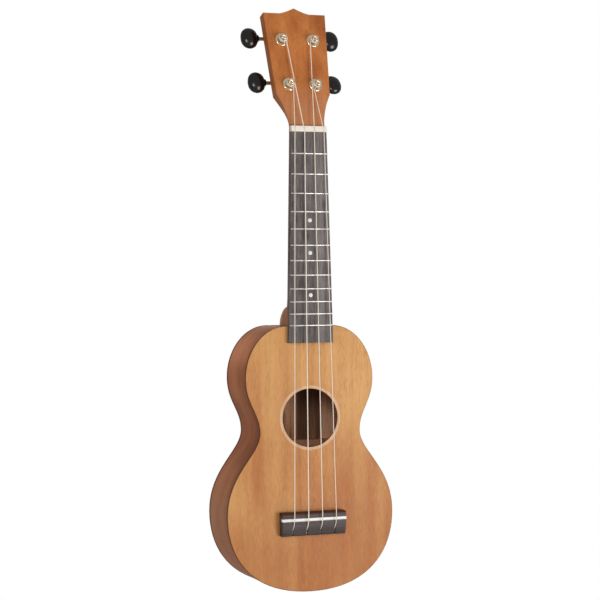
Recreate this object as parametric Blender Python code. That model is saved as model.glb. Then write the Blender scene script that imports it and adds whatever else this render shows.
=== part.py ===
"""Soprano ukulele with open-gear tuners, modelled piece by piece.

Metres, +Z up along the neck, the playing face towards -Y and +X to the viewer's right.
The origin is on the centre line where the nut meets the fretboard, at the fretboard's surface.
"""
import math

import bmesh
import bpy
from mathutils import Matrix, Vector

# Fits
GLUE_GAP = 0.0003
RUNNING_GAP = 0.0003
FRET_SEAT = 0.00015
STRING_GAP = 0.0003

# Scale, fretboard and frets
SCALE_LENGTH = 0.345
FRET_COUNT = 12
NUT_WIDTH = 0.0338
FRETBOARD_END_WIDTH = 0.0422
FRETBOARD_THICKNESS = 0.0044
FRETBOARD_TAIL = 0.0155
FRET_WIDTH = 0.0018
FRET_HEIGHT = 0.0009
FRET_CROWN = ((-1.0, 0.0), (-0.8, 0.65), (-0.35, 1.0))
FRET_TANG_WIDTH = 0.0006
FRET_TANG_DEPTH = 0.0016
FRET_END_INSET = 0.0003
DOT_FRETS = (5, 7, 10)
DOT_DIAMETER = 0.0036
DOT_DEPTH = 0.0012

# Nut, saddle and strings
NUT_THICKNESS = 0.0054
NUT_CROWN = 0.0020
NUT_BACK_DROP = 0.0016
NUT_STRING_SPACING = 0.0092
NUT_STRING_HEIGHT = 0.0016
SADDLE_STRING_SPACING = 0.0132
SADDLE_STRING_HEIGHT = 0.0066
SADDLE_THICKNESS = 0.0026
SADDLE_LENGTH = 0.0608
SADDLE_SEAT_DEPTH = 0.0034
STRING_NAMES = ("g", "c", "e", "a")
G_STRING_DIAMETER = 0.00076
C_STRING_DIAMETER = 0.00096
E_STRING_DIAMETER = 0.00081
A_STRING_DIAMETER = 0.00071
STRING_DIAMETERS = (G_STRING_DIAMETER, C_STRING_DIAMETER, E_STRING_DIAMETER, A_STRING_DIAMETER)
KNOT_SWELL = 2.4
KNOT_PROFILE = ((-1.0, 0.5), (0.0, 1.0), (1.0, 0.6))
KNOT_END = 1.6
WINDING_TURNS = 2.25
LOOP_POINTS = 24
STRING_BEND = math.radians(25.0)
STRING_BEND_DEPTH = 0.0012
STRING_TAIL = 0.0030

# Bridge
BRIDGE_LENGTH = 0.0604
BRIDGE_FRONT = 0.0064
BRIDGE_REAR = 0.0147
BRIDGE_HEIGHT = 0.0080
BRIDGE_REAR_DROP = 0.0022
BRIDGE_ROUND = 0.0018
STRING_SLOT_START = 0.0058
KNOT_SETBACK = 0.0118
KNOT_DEPTH = 0.0048
KNOT_POCKET_RADIUS = 0.0017

# Body outline, measured down from the neck joint
JOINT_BELOW_LAST_FRET = 0.0002
HEEL_FLAT = 0.0220
UPPER_BOUT = 0.1212
UPPER_BOUT_AT = 0.0470
WAIST = 0.0952
WAIST_AT = 0.0950
LOWER_BOUT = 0.1574
LOWER_BOUT_AT = 0.1684
BODY_LENGTH = 0.2379
SHOULDER_FULLNESS = (0.57, 0.525)
UPPER_CURVE_FULLNESS = (0.46, 0.37)
LOWER_CURVE_FULLNESS = (0.26, 0.53)
TAIL_FULLNESS = (0.58, 0.665)
OUTLINE_STEPS = (8, 8, 10, 11)

# Body walls
BODY_DEPTH = 0.0561
TOP_THICKNESS = 0.0020
BACK_THICKNESS = 0.0022
SIDE_THICKNESS = 0.0018
PLATE_OVERHANG = 0.0003
PLATE_EDGE_ROUND = 0.0005
LINING_HEIGHT = 0.0050
LINING_THICKNESS = 0.0030
SOUNDHOLE_AT = 0.0825
SOUNDHOLE_DIAMETER = 0.0523
ROSETTE_WIDTH = 0.0028
ROSETTE_DEPTH = 0.0010

# Inner pieces
BLOCK_WIDTH = 0.0430
NECK_BLOCK_LENGTH = 0.0150
TAIL_BLOCK_LENGTH = 0.0110
BRACE_WIDTH = 0.0060
BRACE_HEIGHT = 0.0080
BRACE_TIP_HEIGHT = 0.0020
BRACE_SCALLOP_HEIGHT = 0.0030
BRACE_TAPER = 0.0160
TOP_BRACES_AT = {"brace_top_upper": 0.0440, "brace_top_lower": 0.1190}
BACK_BRACES_AT = {"brace_back_upper": 0.0470, "brace_back_lower": 0.1090}
BRIDGE_PLATE_WIDTH = 0.0840
BRIDGE_PLATE_LENGTH = 0.0240
BRIDGE_PLATE_THICKNESS = 0.0020

# Neck and headstock
NECK_DEPTH_AT_NUT = 0.0130
NECK_DEPTH_AT_HEEL = 0.0150
NECK_ROUNDNESS = 1.7
HEEL_ROUNDNESS = 2.3
HEEL_DEPTH = 0.0490
HEEL_CAP_LENGTH = 0.0030
HEEL_SHOULDER_LENGTH = 0.0136
HEEL_SHOULDER_DROP = 0.0220
HEEL_SWEEP = 0.0110
HEEL_CURVE_STEPS = 4
HEAD_TILT = math.radians(16.5)
HEAD_THICKNESS = 0.0120
HEAD_LENGTH = 0.1095
HEAD_TOP_WIDTH = 0.0598
HEAD_CORNER_WIDTH = 0.0514
HEAD_CORNER_AT = 0.0310
HEAD_SQUARENESS = 14.0
HEAD_FLARE_POWER = 1.8
HEAD_FLARE_STEPS = 5
CREST_WIDTH = 0.0290
CREST_HEIGHT = 0.0056
CREST_POWER = 1.35
CREST_STEPS = 4
NECK_ARC_POINTS = 17

# Tuners, in the headstock's own frame: sideways and up from the top edge of the nut
POST_SIDES = {"g": -1, "c": -1, "e": 1, "a": 1}
POST_UP = {"g": 0.0395, "c": 0.0830, "e": 0.0830, "a": 0.0395}
POST_FROM_EDGE = 0.0135
POST_RADIUS = 0.0030
POST_WAIST_RADIUS = 0.0026
POST_HEIGHT = 0.0087
POST_STUB_RADIUS = 0.0020
POST_HOLE_RADIUS = 0.0011
POST_HOLE_HEIGHT = 0.0063
WINDING_START_HEIGHT = 0.0027
BUSHING_RADIUS = 0.0043
BUSHING_LENGTH = 0.0080
BUSHING_FLANGE_RADIUS = 0.0063
BUSHING_FLANGE_THICKNESS = 0.0013
PLATE_THICKNESS = 0.0012
PLATE_HALF_WIDTH = 0.0068
PLATE_BELOW_POST = 0.0100
PLATE_ABOVE_POST = 0.0185
EAR_THICKNESS = 0.0012
EAR_HALF_LENGTH = 0.0037
EAR_INSET = 0.00015
EAR_STEPS = 8

# Worm gear of each tuner
WHEEL_TEETH = 14
GEAR_MODULE = 0.0009
WHEEL_WIDTH = 0.0040
WHEEL_STANDOFF = 0.0030
TOOTH_ADDENDUM = 0.00065
TOOTH_DEDENDUM = 0.00090
TOOTH_TIP_HALF = 0.00030
TOOTH_ROOT_HALF = 0.00080
WORM_PITCH_RADIUS = 0.0027
WORM_ADDENDUM = 0.00070
WORM_SHAFT_RADIUS = 0.00175
WORM_THREAD_SINK = 0.00035
WORM_CREST_HALF = 0.00028
WORM_ROOT_HALF = 0.00085
WORM_TURNS = 2.75
WORM_STEPS = 12
SHAFT_INNER_END = 0.0078

# Knobs
KNOB_INNER_END = 0.0155
KNOB_LENGTH = 0.0166
KNOB_WIDTH = 0.0200
KNOB_THICKNESS = 0.0102
KNOB_COLLAR_RADIUS = 0.0034
KNOB_COLLAR_LENGTH = 0.0006
KNOB_BULB_START = 0.0010
KNOB_BULB_ANGLES = (math.radians(20.0), math.radians(172.0))
KNOB_BULB_FULLNESS = 0.8
KNOB_BULB_STEPS = 8
KNOB_SOCKET_DEPTH = 0.0100
KNOB_REST_TURNS = {"g": 0.0, "c": 0.0, "e": 0.0, "a": math.radians(-16.0)}

# Counts of facets
ROUND_STEPS = 16
RING_STEPS = 48
HOLE_STEPS = 12

# Values that follow from the sizes above
FACE_Y = FRETBOARD_THICKNESS + GLUE_GAP
BACK_Y = FACE_Y + BODY_DEPTH
RIM_FRONT = FACE_Y + TOP_THICKNESS + GLUE_GAP
RIM_BACK = BACK_Y - BACK_THICKNESS - GLUE_GAP
WHEEL_PITCH_RADIUS = GEAR_MODULE * WHEEL_TEETH / 2
WORM_PITCH = math.pi * GEAR_MODULE
WORM_CENTRE = WHEEL_PITCH_RADIUS + WORM_PITCH_RADIUS
PLATE_FRONT = HEAD_THICKNESS + GLUE_GAP
PLATE_BACK = PLATE_FRONT + PLATE_THICKNESS
WHEEL_FRONT = PLATE_BACK + WHEEL_STANDOFF
WORM_BACK = WHEEL_FRONT + WHEEL_WIDTH / 2
BRIDGE_TOP = FACE_Y - GLUE_GAP - BRIDGE_HEIGHT
SADDLE_TOP = -SADDLE_STRING_HEIGHT + max(STRING_DIAMETERS) / 2 + STRING_GAP


def fret_z(number):
    """Height of a fret; fret 0 is the nut's edge."""
    return -SCALE_LENGTH * (1 - 2 ** (-number / 12))


LAST_FRET_Z = fret_z(FRET_COUNT)
FRETBOARD_END_Z = LAST_FRET_Z - FRETBOARD_TAIL
BODY_TOP_Z = LAST_FRET_Z - JOINT_BELOW_LAST_FRET
HOLE_Z = BODY_TOP_Z - SOUNDHOLE_AT
SADDLE_Z = -SCALE_LENGTH
HEAD_WIDENING = (HEAD_TOP_WIDTH - HEAD_CORNER_WIDTH) / (HEAD_LENGTH - HEAD_CORNER_AT)
HEAD_FOOT_Z = NUT_THICKNESS + GLUE_GAP
HEAD_MATRIX = Matrix.Translation((0, FACE_Y, HEAD_FOOT_Z)) @ Matrix.Rotation(-HEAD_TILT, 4, "X")


def head_half_width(up):
    """Half the headstock's width at a height above its corners."""
    return (HEAD_CORNER_WIDTH + HEAD_WIDENING * (up - HEAD_CORNER_AT)) / 2


POSTS = {name: (side * (head_half_width(POST_UP[name]) - POST_FROM_EDGE), POST_UP[name])
         for name, side in POST_SIDES.items()}


# Scene helpers
def clear_scene():
    for thing in list(bpy.data.objects):
        bpy.data.objects.remove(thing, do_unlink=True)


def make_material(name, colour, roughness, metallic=0.0):
    material = bpy.data.materials.new(name)
    material.use_nodes = True
    shader = material.node_tree.nodes["Principled BSDF"]
    shader.inputs["Base Color"].default_value = (*colour, 1.0)
    shader.inputs["Roughness"].default_value = roughness
    shader.inputs["Metallic"].default_value = metallic
    return material


def make_empty(name, matrix, parent=None):
    empty = bpy.data.objects.new(name, None)
    empty.parent = parent
    empty.matrix_local = matrix
    bpy.context.collection.objects.link(empty)
    return empty


def make_object(name, shape, material, parent=None):
    """Object from a bmesh, shaded smooth with its real edges kept sharp."""
    data = bpy.data.meshes.new(name)
    shape.to_mesh(data)
    shape.free()
    data.shade_smooth()
    data.set_sharp_from_angle(angle=math.radians(35))
    data.materials.append(material)
    thing = bpy.data.objects.new(name, data)
    thing.parent = parent
    bpy.context.collection.objects.link(thing)
    return thing


def combine(target, operation, name, shape):
    """Cut a hidden helper shape out of the target, or unite it with the target."""
    helper = make_object(name, shape, target.data.materials[0], target.parent)
    helper.hide_render = True
    helper.display_type = "WIRE"
    modifier = target.modifiers.new(name, "BOOLEAN")
    modifier.operation = operation
    modifier.solver = "EXACT"
    modifier.object = helper


# Shape helpers
def skin(rings, looped=False):
    """Closed skin over a row of rings; the end rings are capped unless the row is looped."""
    shape = bmesh.new()
    add_skin(shape, rings, looped)
    return shape


def add_skin(shape, rings, looped=False):
    rows = [[shape.verts.new(point) for point in ring] for ring in rings]
    faces = []
    pairs = list(zip(rows, rows[1:]))
    if looped:
        pairs.append((rows[-1], rows[0]))
    else:
        faces.append(shape.faces.new(rows[0]))
        faces.append(shape.faces.new(rows[-1]))
    for near, far in pairs:
        for k in range(len(near)):
            after = (k + 1) % len(near)
            faces.append(shape.faces.new((near[k], near[after], far[after], far[k])))
    bmesh.ops.recalc_face_normals(shape, faces=faces)


def prism(outline, place_low, place_high):
    """Solid between two placings of one flat outline."""
    return skin([[place_low(*point) for point in outline], [place_high(*point) for point in outline]])


def circle(radius, steps):
    angles = [2 * math.pi * k / steps for k in range(steps)]
    return [(radius * math.cos(angle), radius * math.sin(angle)) for angle in angles]


def turned(profile, steps, looped=False):
    """Solid turned about the local Y axis from (radius, y) points."""
    return skin([[Vector((x, y, z)) for x, z in circle(radius, steps)] for radius, y in profile], looped)


def bezier(start, first, second, end, steps):
    points = []
    for k in range(1, steps + 1):
        t = k / steps
        near = (1 - t) ** 3 * start + 3 * t * (1 - t) ** 2 * first
        points.append(near + 3 * t * t * (1 - t) * second + t ** 3 * end)
    return points


# Body outline
def half_outline():
    """Right half of the body outline as (x, z), from the neck joint round to the tail."""
    joint = Vector((HEEL_FLAT, BODY_TOP_Z))
    upper = Vector((UPPER_BOUT / 2, BODY_TOP_Z - UPPER_BOUT_AT))
    waist = Vector((WAIST / 2, BODY_TOP_Z - WAIST_AT))
    lower = Vector((LOWER_BOUT / 2, BODY_TOP_Z - LOWER_BOUT_AT))
    tail = Vector((0.0, BODY_TOP_Z - BODY_LENGTH))
    points = [Vector((0.0, BODY_TOP_Z)), joint]
    out, up = SHOULDER_FULLNESS
    points += bezier(joint, joint + Vector((out * (upper.x - joint.x), 0)),
                     upper + Vector((0, up * (joint.y - upper.y))), upper, OUTLINE_STEPS[0])
    down, up = UPPER_CURVE_FULLNESS
    points += bezier(upper, upper + Vector((0, down * (waist.y - upper.y))),
                     waist + Vector((0, up * (upper.y - waist.y))), waist, OUTLINE_STEPS[1])
    down, up = LOWER_CURVE_FULLNESS
    points += bezier(waist, waist + Vector((0, down * (lower.y - waist.y))),
                     lower + Vector((0, up * (waist.y - lower.y))), lower, OUTLINE_STEPS[2])
    down, out = TAIL_FULLNESS
    points += bezier(lower, lower + Vector((0, down * (tail.y - lower.y))),
                     tail + Vector((out * lower.x, 0)), tail, OUTLINE_STEPS[3])
    return points


def inset_half(distance):
    """Right half of the outline moved inwards by a distance; its two ends stay on the centre line."""
    points = half_outline()
    moved = []
    for k, point in enumerate(points):
        before = points[k - 1] if k > 0 else Vector((-points[1].x, points[1].y))
        after = points[k + 1] if k + 1 < len(points) else Vector((-points[-2].x, points[-2].y))
        along = (after - before).normalized()
        moved.append(point + distance * Vector((along.y, -along.x)))
    return moved


def full_outline(distance):
    right = inset_half(distance)
    left = [Vector((-point.x, point.y)) for point in reversed(right[1:-1])]
    return right + left


def inner_half_width(z, distance):
    """Half the body's inside width at a height, inside the outline by a distance."""
    points = inset_half(distance)
    for above, below in zip(points, points[1:]):
        if above.y >= z >= below.y and above.y > below.y:
            share = (above.y - z) / (above.y - below.y)
            return above.x + share * (below.x - above.x)
    return points[1].x


def tail_z(x, distance):
    """Height of the tail curve at a place across, inside the outline by a distance."""
    points = inset_half(distance)
    for far, near in zip(points, points[1:]):
        if far.x >= x >= near.x and far.y < HOLE_Z:
            share = (far.x - x) / (far.x - near.x)
            return far.y + share * (near.y - far.y)
    return points[-1].y


def fretboard_half_width(z):
    return (NUT_WIDTH + (FRETBOARD_END_WIDTH - NUT_WIDTH) * z / FRETBOARD_END_Z) / 2


# Body
def plate_shape(outer_y, inner_y):
    """Flat plate with a rounded outer edge; the outer face looks away from the body."""
    direction = 1 if inner_y > outer_y else -1
    levels = ((PLATE_EDGE_ROUND, outer_y), (0.0, outer_y + direction * PLATE_EDGE_ROUND), (0.0, inner_y))
    return skin([[Vector((p.x, y, p.y)) for p in full_outline(inset)] for inset, y in levels])


def make_soundboard(wood, ring_wood):
    board = make_object("soundboard", plate_shape(FACE_Y, FACE_Y + TOP_THICKNESS), wood)
    hole = SOUNDHOLE_DIAMETER / 2
    rebate = hole + ROSETTE_WIDTH + GLUE_GAP
    rebate_floor = FACE_Y + ROSETTE_DEPTH + GLUE_GAP
    beyond = TOP_THICKNESS
    opening = turned(((rebate, FACE_Y - beyond), (rebate, rebate_floor), (hole, rebate_floor),
                      (hole, FACE_Y + TOP_THICKNESS + beyond)), RING_STEPS)
    bmesh.ops.translate(opening, verts=opening.verts, vec=(0, 0, HOLE_Z))
    combine(board, "DIFFERENCE", "soundhole_cutter", opening)
    outer = hole + ROSETTE_WIDTH
    floor = FACE_Y + ROSETTE_DEPTH
    ring = turned(((hole, FACE_Y), (outer, FACE_Y), (outer, floor), (hole, floor)), RING_STEPS, looped=True)
    rosette = make_object("rosette", ring, ring_wood)
    rosette.location.z = HOLE_Z


def make_back(wood):
    make_object("back", plate_shape(BACK_Y, BACK_Y - BACK_THICKNESS), wood)


def strip(outer_inset, inner_inset, front, back, side, first_x):
    """Rings of a bent strip along one side of the body, ending first_x from the centre line."""
    rings = []
    for near, far in zip(inset_half(outer_inset), inset_half(inner_inset)):
        corners = ((near, front), (near, back), (far, back), (far, front))
        rings.append([Vector((side * max(p.x, first_x), y, p.y)) for p, y in corners])
    return rings


def make_sides(wood):
    inner = PLATE_OVERHANG + SIDE_THICKNESS
    for name, side in (("side_bass", -1), ("side_treble", 1)):
        wall = skin(strip(PLATE_OVERHANG, inner, RIM_FRONT, RIM_BACK, side, GLUE_GAP / 2))
        thing = make_object(name, wall, wood)
        linings = bmesh.new()
        sunk = SIDE_THICKNESS / 4
        for front in (RIM_FRONT + sunk, RIM_BACK - sunk - LINING_HEIGHT):
            rings = strip(inner - sunk, inner + LINING_THICKNESS, front, front + LINING_HEIGHT, side, 0.0)
            clear = BLOCK_WIDTH / 2 + GLUE_GAP
            add_skin(linings, [ring for ring in rings if min(abs(p.x) for p in ring) > clear])
        combine(thing, "UNION", name + "_linings", linings)


def make_blocks(wood):
    inner = PLATE_OVERHANG + SIDE_THICKNESS + GLUE_GAP
    half = BLOCK_WIDTH / 2
    top = BODY_TOP_Z - inner
    low = top - NECK_BLOCK_LENGTH
    corner = NECK_BLOCK_LENGTH / 4
    right = [(HEEL_FLAT - corner, top), (half, top - corner), (half, low + corner), (half - corner, low)]
    outline = right + [(-x, z) for x, z in reversed(right)]
    make_object("neck_block", prism(outline, lambda x, z: Vector((x, RIM_FRONT, z)),
                                    lambda x, z: Vector((x, RIM_BACK, z))), wood)
    end_z = tail_z(half, inner)
    right = [(half, end_z)] + [(p.x, p.y) for p in inset_half(inner) if p.x < half and p.y < HOLE_Z]
    flat = end_z + TAIL_BLOCK_LENGTH
    outline = right + [(-x, z) for x, z in reversed(right[:-1])] + [(-half, flat), (half, flat)]
    make_object("tail_block", prism(outline, lambda x, z: Vector((x, RIM_FRONT, z)),
                                    lambda x, z: Vector((x, RIM_BACK, z))), wood)


def make_brace(name, down, glued_y, direction, wood):
    """Ladder brace across a plate, tapered to thin tips at its ends."""
    z = BODY_TOP_Z - down
    inset = PLATE_OVERHANG + SIDE_THICKNESS + LINING_THICKNESS + 2 * GLUE_GAP
    half = min(inner_half_width(z + BRACE_WIDTH / 2, inset), inner_half_width(z - BRACE_WIDTH / 2, inset))
    right = [(half, 0.0), (half, BRACE_TIP_HEIGHT), (half - BRACE_TAPER / 2, BRACE_SCALLOP_HEIGHT),
             (half - BRACE_TAPER, BRACE_HEIGHT)]
    outline = right + [(-x, y) for x, y in reversed(right)]
    make_object(name, prism(outline, lambda x, y: Vector((x, glued_y + direction * y, z - BRACE_WIDTH / 2)),
                            lambda x, y: Vector((x, glued_y + direction * y, z + BRACE_WIDTH / 2))), wood)


def make_bridge_plate(wood):
    centre = SADDLE_Z + (BRIDGE_FRONT - BRIDGE_REAR) / 2
    thin = BRIDGE_PLATE_THICKNESS
    levels = ((0.0, RIM_FRONT), (0.0, RIM_FRONT + thin / 2), (thin / 2, RIM_FRONT + thin))
    rings = []
    for inset, y in levels:
        x = BRIDGE_PLATE_WIDTH / 2 - inset
        z = BRIDGE_PLATE_LENGTH / 2 - inset
        rings.append([Vector((a * x, y, centre + b * z)) for a, b in ((-1, -1), (1, -1), (1, 1), (-1, 1))])
    make_object("bridge_plate", skin(rings), wood)


# Fretboard, frets and nut
def make_fretboard(wood, dot_material):
    slot = FRET_TANG_WIDTH / 2 + FRET_SEAT
    floor = FRET_TANG_DEPTH + GLUE_GAP
    start = -GLUE_GAP
    profile = [(start, FRETBOARD_THICKNESS), (start, 0.0)]
    for number in range(1, FRET_COUNT + 1):
        z = fret_z(number)
        profile += [(z + slot, 0.0), (z + slot, floor), (z - slot, floor), (z - slot, 0.0)]
    profile += [(FRETBOARD_END_Z, 0.0), (FRETBOARD_END_Z, FRETBOARD_THICKNESS)]
    board = prism(profile, lambda z, y: Vector((-fretboard_half_width(z), y, z)),
                  lambda z, y: Vector((fretboard_half_width(z), y, z)))
    board = make_object("fretboard", board, wood)
    pockets = bmesh.new()
    for fret in DOT_FRETS:
        z = (fret_z(fret - 1) + fret_z(fret)) / 2
        pocket = DOT_DIAMETER / 2 + FRET_SEAT
        rings = [[Vector((x, y, z + up)) for x, up in circle(pocket, ROUND_STEPS)]
                 for y in (-DOT_DEPTH, DOT_DEPTH + GLUE_GAP)]
        add_skin(pockets, rings)
        disc = turned(((DOT_DIAMETER / 2, 0.0), (DOT_DIAMETER / 2, DOT_DEPTH)), ROUND_STEPS)
        dot = make_object(f"position_dot_{fret:02d}", disc, dot_material)
        dot.location.z = z
    combine(board, "DIFFERENCE", "dot_pockets", pockets)


def make_frets(metal):
    """Fret wire with a rounded crown and a tang that stands in its slot."""
    half = FRET_WIDTH / 2
    tang = FRET_TANG_WIDTH / 2
    seat = -FRET_SEAT
    crown = [(along * half, min(seat, -rise * FRET_HEIGHT)) for along, rise in FRET_CROWN]
    profile = crown + [(-z, y) for z, y in reversed(crown)]
    profile += [(tang, seat), (tang, FRET_TANG_DEPTH), (-tang, FRET_TANG_DEPTH), (-tang, seat)]
    for number in range(1, FRET_COUNT + 1):
        z = fret_z(number)
        reach = fretboard_half_width(z) - FRET_END_INSET
        wire = prism(profile, lambda up, y: Vector((-reach, y, up)), lambda up, y: Vector((reach, y, up)))
        make_object(f"fret_{number:02d}", wire, metal).location.z = z


def make_nut(bone):
    """Nut with a slot for each string, sloping down towards the headstock."""
    bottom = FACE_Y - GLUE_GAP
    half = NUT_WIDTH / 2
    rings = []
    for z in (0.0, NUT_THICKNESS):
        crown = -NUT_CROWN + NUT_BACK_DROP * z / NUT_THICKNESS
        ring = [Vector((-half, bottom, z)), Vector((-half, crown, z))]
        for index, diameter in enumerate(STRING_DIAMETERS):
            string = string_at_nut(index, z)
            wall = diameter / 2 + STRING_GAP
            floor = string.y + wall
            ring += [Vector((string.x - wall, crown, z)), Vector((string.x - wall, floor, z)),
                     Vector((string.x + wall, floor, z)), Vector((string.x + wall, crown, z))]
        ring += [Vector((half, crown, z)), Vector((half, bottom, z))]
        rings.append(ring)
    make_object("nut", skin(rings), bone)


# Bridge and saddle
def make_bridge(wood, bone):
    foot = FACE_Y - GLUE_GAP
    front = SADDLE_Z + BRIDGE_FRONT
    rear = SADDLE_Z - BRIDGE_REAR
    slot = SADDLE_THICKNESS / 2 + GLUE_GAP
    slot_floor = BRIDGE_TOP + SADDLE_SEAT_DEPTH
    rear_top = BRIDGE_TOP + BRIDGE_REAR_DROP
    slope_start = SADDLE_Z - STRING_SLOT_START
    third = BRIDGE_ROUND / 3
    front_edge = [(front, foot), (front, BRIDGE_TOP + BRIDGE_ROUND), (front - third, BRIDGE_TOP + third),
                  (front - BRIDGE_ROUND, BRIDGE_TOP)]
    seat_slot = [(SADDLE_Z + slot, BRIDGE_TOP), (SADDLE_Z + slot, slot_floor), (SADDLE_Z - slot, slot_floor),
                 (SADDLE_Z - slot, BRIDGE_TOP)]
    rear_edge = [(slope_start, BRIDGE_TOP), (rear + BRIDGE_ROUND, rear_top), (rear + third, rear_top + third),
                 (rear, rear_top + BRIDGE_ROUND), (rear, foot)]
    profile = front_edge + seat_slot + rear_edge
    half = BRIDGE_LENGTH / 2
    block = prism(profile, lambda z, y: Vector((-half, y, z)), lambda z, y: Vector((half, y, z)))
    bridge = make_object("bridge", block, wood)
    slots = bmesh.new()
    pockets = bmesh.new()
    knot_z = SADDLE_Z - KNOT_SETBACK
    knot_y = BRIDGE_TOP + KNOT_DEPTH
    beyond = BRIDGE_ROUND
    for index, diameter in enumerate(STRING_DIAMETERS):
        x = string_offset(index) * SADDLE_STRING_SPACING
        wide = diameter / 2 + STRING_GAP
        corners = ((-wide, BRIDGE_TOP - beyond), (wide, BRIDGE_TOP - beyond), (wide, knot_y + wide),
                   (-wide, knot_y + wide))
        add_skin(slots, [[Vector((x + across, y, z)) for across, y in corners]
                         for z in (slope_start + STRING_GAP, rear - beyond)])
        ring = circle(KNOT_POCKET_RADIUS, HOLE_STEPS)
        add_skin(pockets, [[Vector((x + across, knot_y + deep, z)) for across, deep in ring]
                           for z in (knot_z + KNOT_POCKET_RADIUS, rear - beyond)])
    combine(bridge, "DIFFERENCE", "string_slots", slots)
    combine(bridge, "DIFFERENCE", "knot_pockets", pockets)
    thick = SADDLE_THICKNESS / 2
    seat = slot_floor - GLUE_GAP
    round_over = thick / 2
    outline = ((-thick, seat), (-thick, SADDLE_TOP + round_over), (-round_over, SADDLE_TOP),
               (round_over, SADDLE_TOP), (thick, SADDLE_TOP + round_over), (thick, seat))
    half = SADDLE_LENGTH / 2
    make_object("saddle", prism(outline, lambda z, y: Vector((-half, y, SADDLE_Z + z)),
                                lambda z, y: Vector((half, y, SADDLE_Z + z))), bone)


# Strings
def string_offset(index):
    return index - (len(STRING_NAMES) - 1) / 2


def winding_radius(index):
    return POST_WAIST_RADIUS + STRING_GAP + STRING_DIAMETERS[index] / 2


def post_side(index):
    """-1 for a post left of the centre line, 1 for one on the right."""
    return POST_SIDES[STRING_NAMES[index]]


def winding_entry(index):
    """Point where a string meets its post, on the post's inner side."""
    across, up = POSTS[STRING_NAMES[index]]
    inner = across - post_side(index) * winding_radius(index)
    return HEAD_MATRIX @ Vector((inner, -WINDING_START_HEIGHT, up))


def string_at_nut(index, z):
    """Centre of a string where it passes a height between the nut's two faces."""
    start = Vector((string_offset(index) * NUT_STRING_SPACING, -NUT_STRING_HEIGHT, 0.0))
    end = winding_entry(index)
    return start + (end - start) * (z / end.z)


def winding_points(index):
    """Turns round the post, then the bend into the post's cross hole and the tail behind it."""
    across, up = POSTS[STRING_NAMES[index]]
    side = post_side(index)
    radius = winding_radius(index)
    start = 0.0 if side < 0 else math.pi
    hole_angle = start - side * WINDING_TURNS * 2 * math.pi
    count = round(WINDING_TURNS * LOOP_POINTS)
    rise = POST_HOLE_HEIGHT - WINDING_START_HEIGHT

    def place(distance, angle, height):
        local = (across + distance * math.cos(angle), -height, up + distance * math.sin(angle))
        return HEAD_MATRIX @ Vector(local)

    points = []
    sweep = abs(hole_angle - start) - STRING_BEND
    for k in range(count + 1):
        share = k / count
        points.append(place(radius, start - side * sweep * share, WINDING_START_HEIGHT + rise * share))
    for share in (1 / 3, 2 / 3, 1.0):
        back = (1 - share) ** 2 * STRING_BEND
        distance = radius - STRING_BEND_DEPTH * share ** 2
        points.append(place(distance, hole_angle + side * back, POST_HOLE_HEIGHT))
    far = POST_WAIST_RADIUS + STRING_TAIL
    points.append(place(-far + STRING_DIAMETERS[index], hole_angle, POST_HOLE_HEIGHT))
    points.append(place(-far, hole_angle, POST_HOLE_HEIGHT))
    return points


def string_route(index):
    """Centre line of a string from its knot, over its slot's edge and the saddle, to its tail."""
    x = string_offset(index) * SADDLE_STRING_SPACING
    radius = STRING_DIAMETERS[index] / 2
    saddle = Vector((x, -SADDLE_STRING_HEIGHT, SADDLE_Z))
    knot = Vector((x, BRIDGE_TOP + KNOT_DEPTH, SADDLE_Z - KNOT_SETBACK))
    edge = Vector((x, BRIDGE_TOP - radius - STRING_GAP, SADDLE_Z - STRING_SLOT_START))
    pull = (edge - knot).normalized()
    swell = KNOT_SWELL * radius
    route = [(knot + along * swell * pull, thick * KNOT_SWELL) for along, thick in KNOT_PROFILE]
    plain = [knot + KNOT_END * swell * pull, edge, saddle, string_at_nut(index, 0.0)]
    return route + [(point, 1.0) for point in plain + winding_points(index)]


def least_gap(points, diameter):
    """Least clear distance of a tube to itself, leaving out stretches that follow one another."""
    least = math.inf
    lengths = [0.0]
    for a, b in zip(points, points[1:]):
        lengths.append(lengths[-1] + (b - a).length)
    for i in range(len(points)):
        for j in range(i + 1, len(points)):
            if lengths[j] - lengths[i] > 6 * diameter:
                least = min(least, (points[i] - points[j]).length - diameter)
    return least


def make_strings(nylon):
    for index, name in enumerate(STRING_NAMES):
        route = string_route(index)
        data = bpy.data.curves.new("string_" + name, "CURVE")
        data.dimensions = "3D"
        data.bevel_depth = STRING_DIAMETERS[index] / 2
        data.bevel_resolution = 1
        data.use_fill_caps = True
        spline = data.splines.new("POLY")
        spline.points.add(len(route) - 1)
        for slot, (point, swell) in zip(spline.points, route):
            slot.co = (*point, 1.0)
            slot.radius = swell
        spline.use_smooth = True
        data.materials.append(nylon)
        bpy.context.collection.objects.link(bpy.data.objects.new("string_" + name, data))
        gap = least_gap([point for point, swell in route], STRING_DIAMETERS[index])
        print(f"string_{name}: least gap to itself {1000 * gap:.2f} mm")


# Neck and headstock
def neck_ring(half_width, depth, roundness, matrix):
    """Flat-fronted ring: straight across the face and a superellipse round the back."""
    ring = []
    for k in range(NECK_ARC_POINTS):
        angle = math.pi * k / (NECK_ARC_POINTS - 1)
        c = math.cos(angle)
        x = math.copysign(half_width * abs(c) ** (2 / roundness), c)
        ring.append(matrix @ Vector((x, depth * math.sin(angle) ** (2 / roundness), 0)))
    return ring


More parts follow.
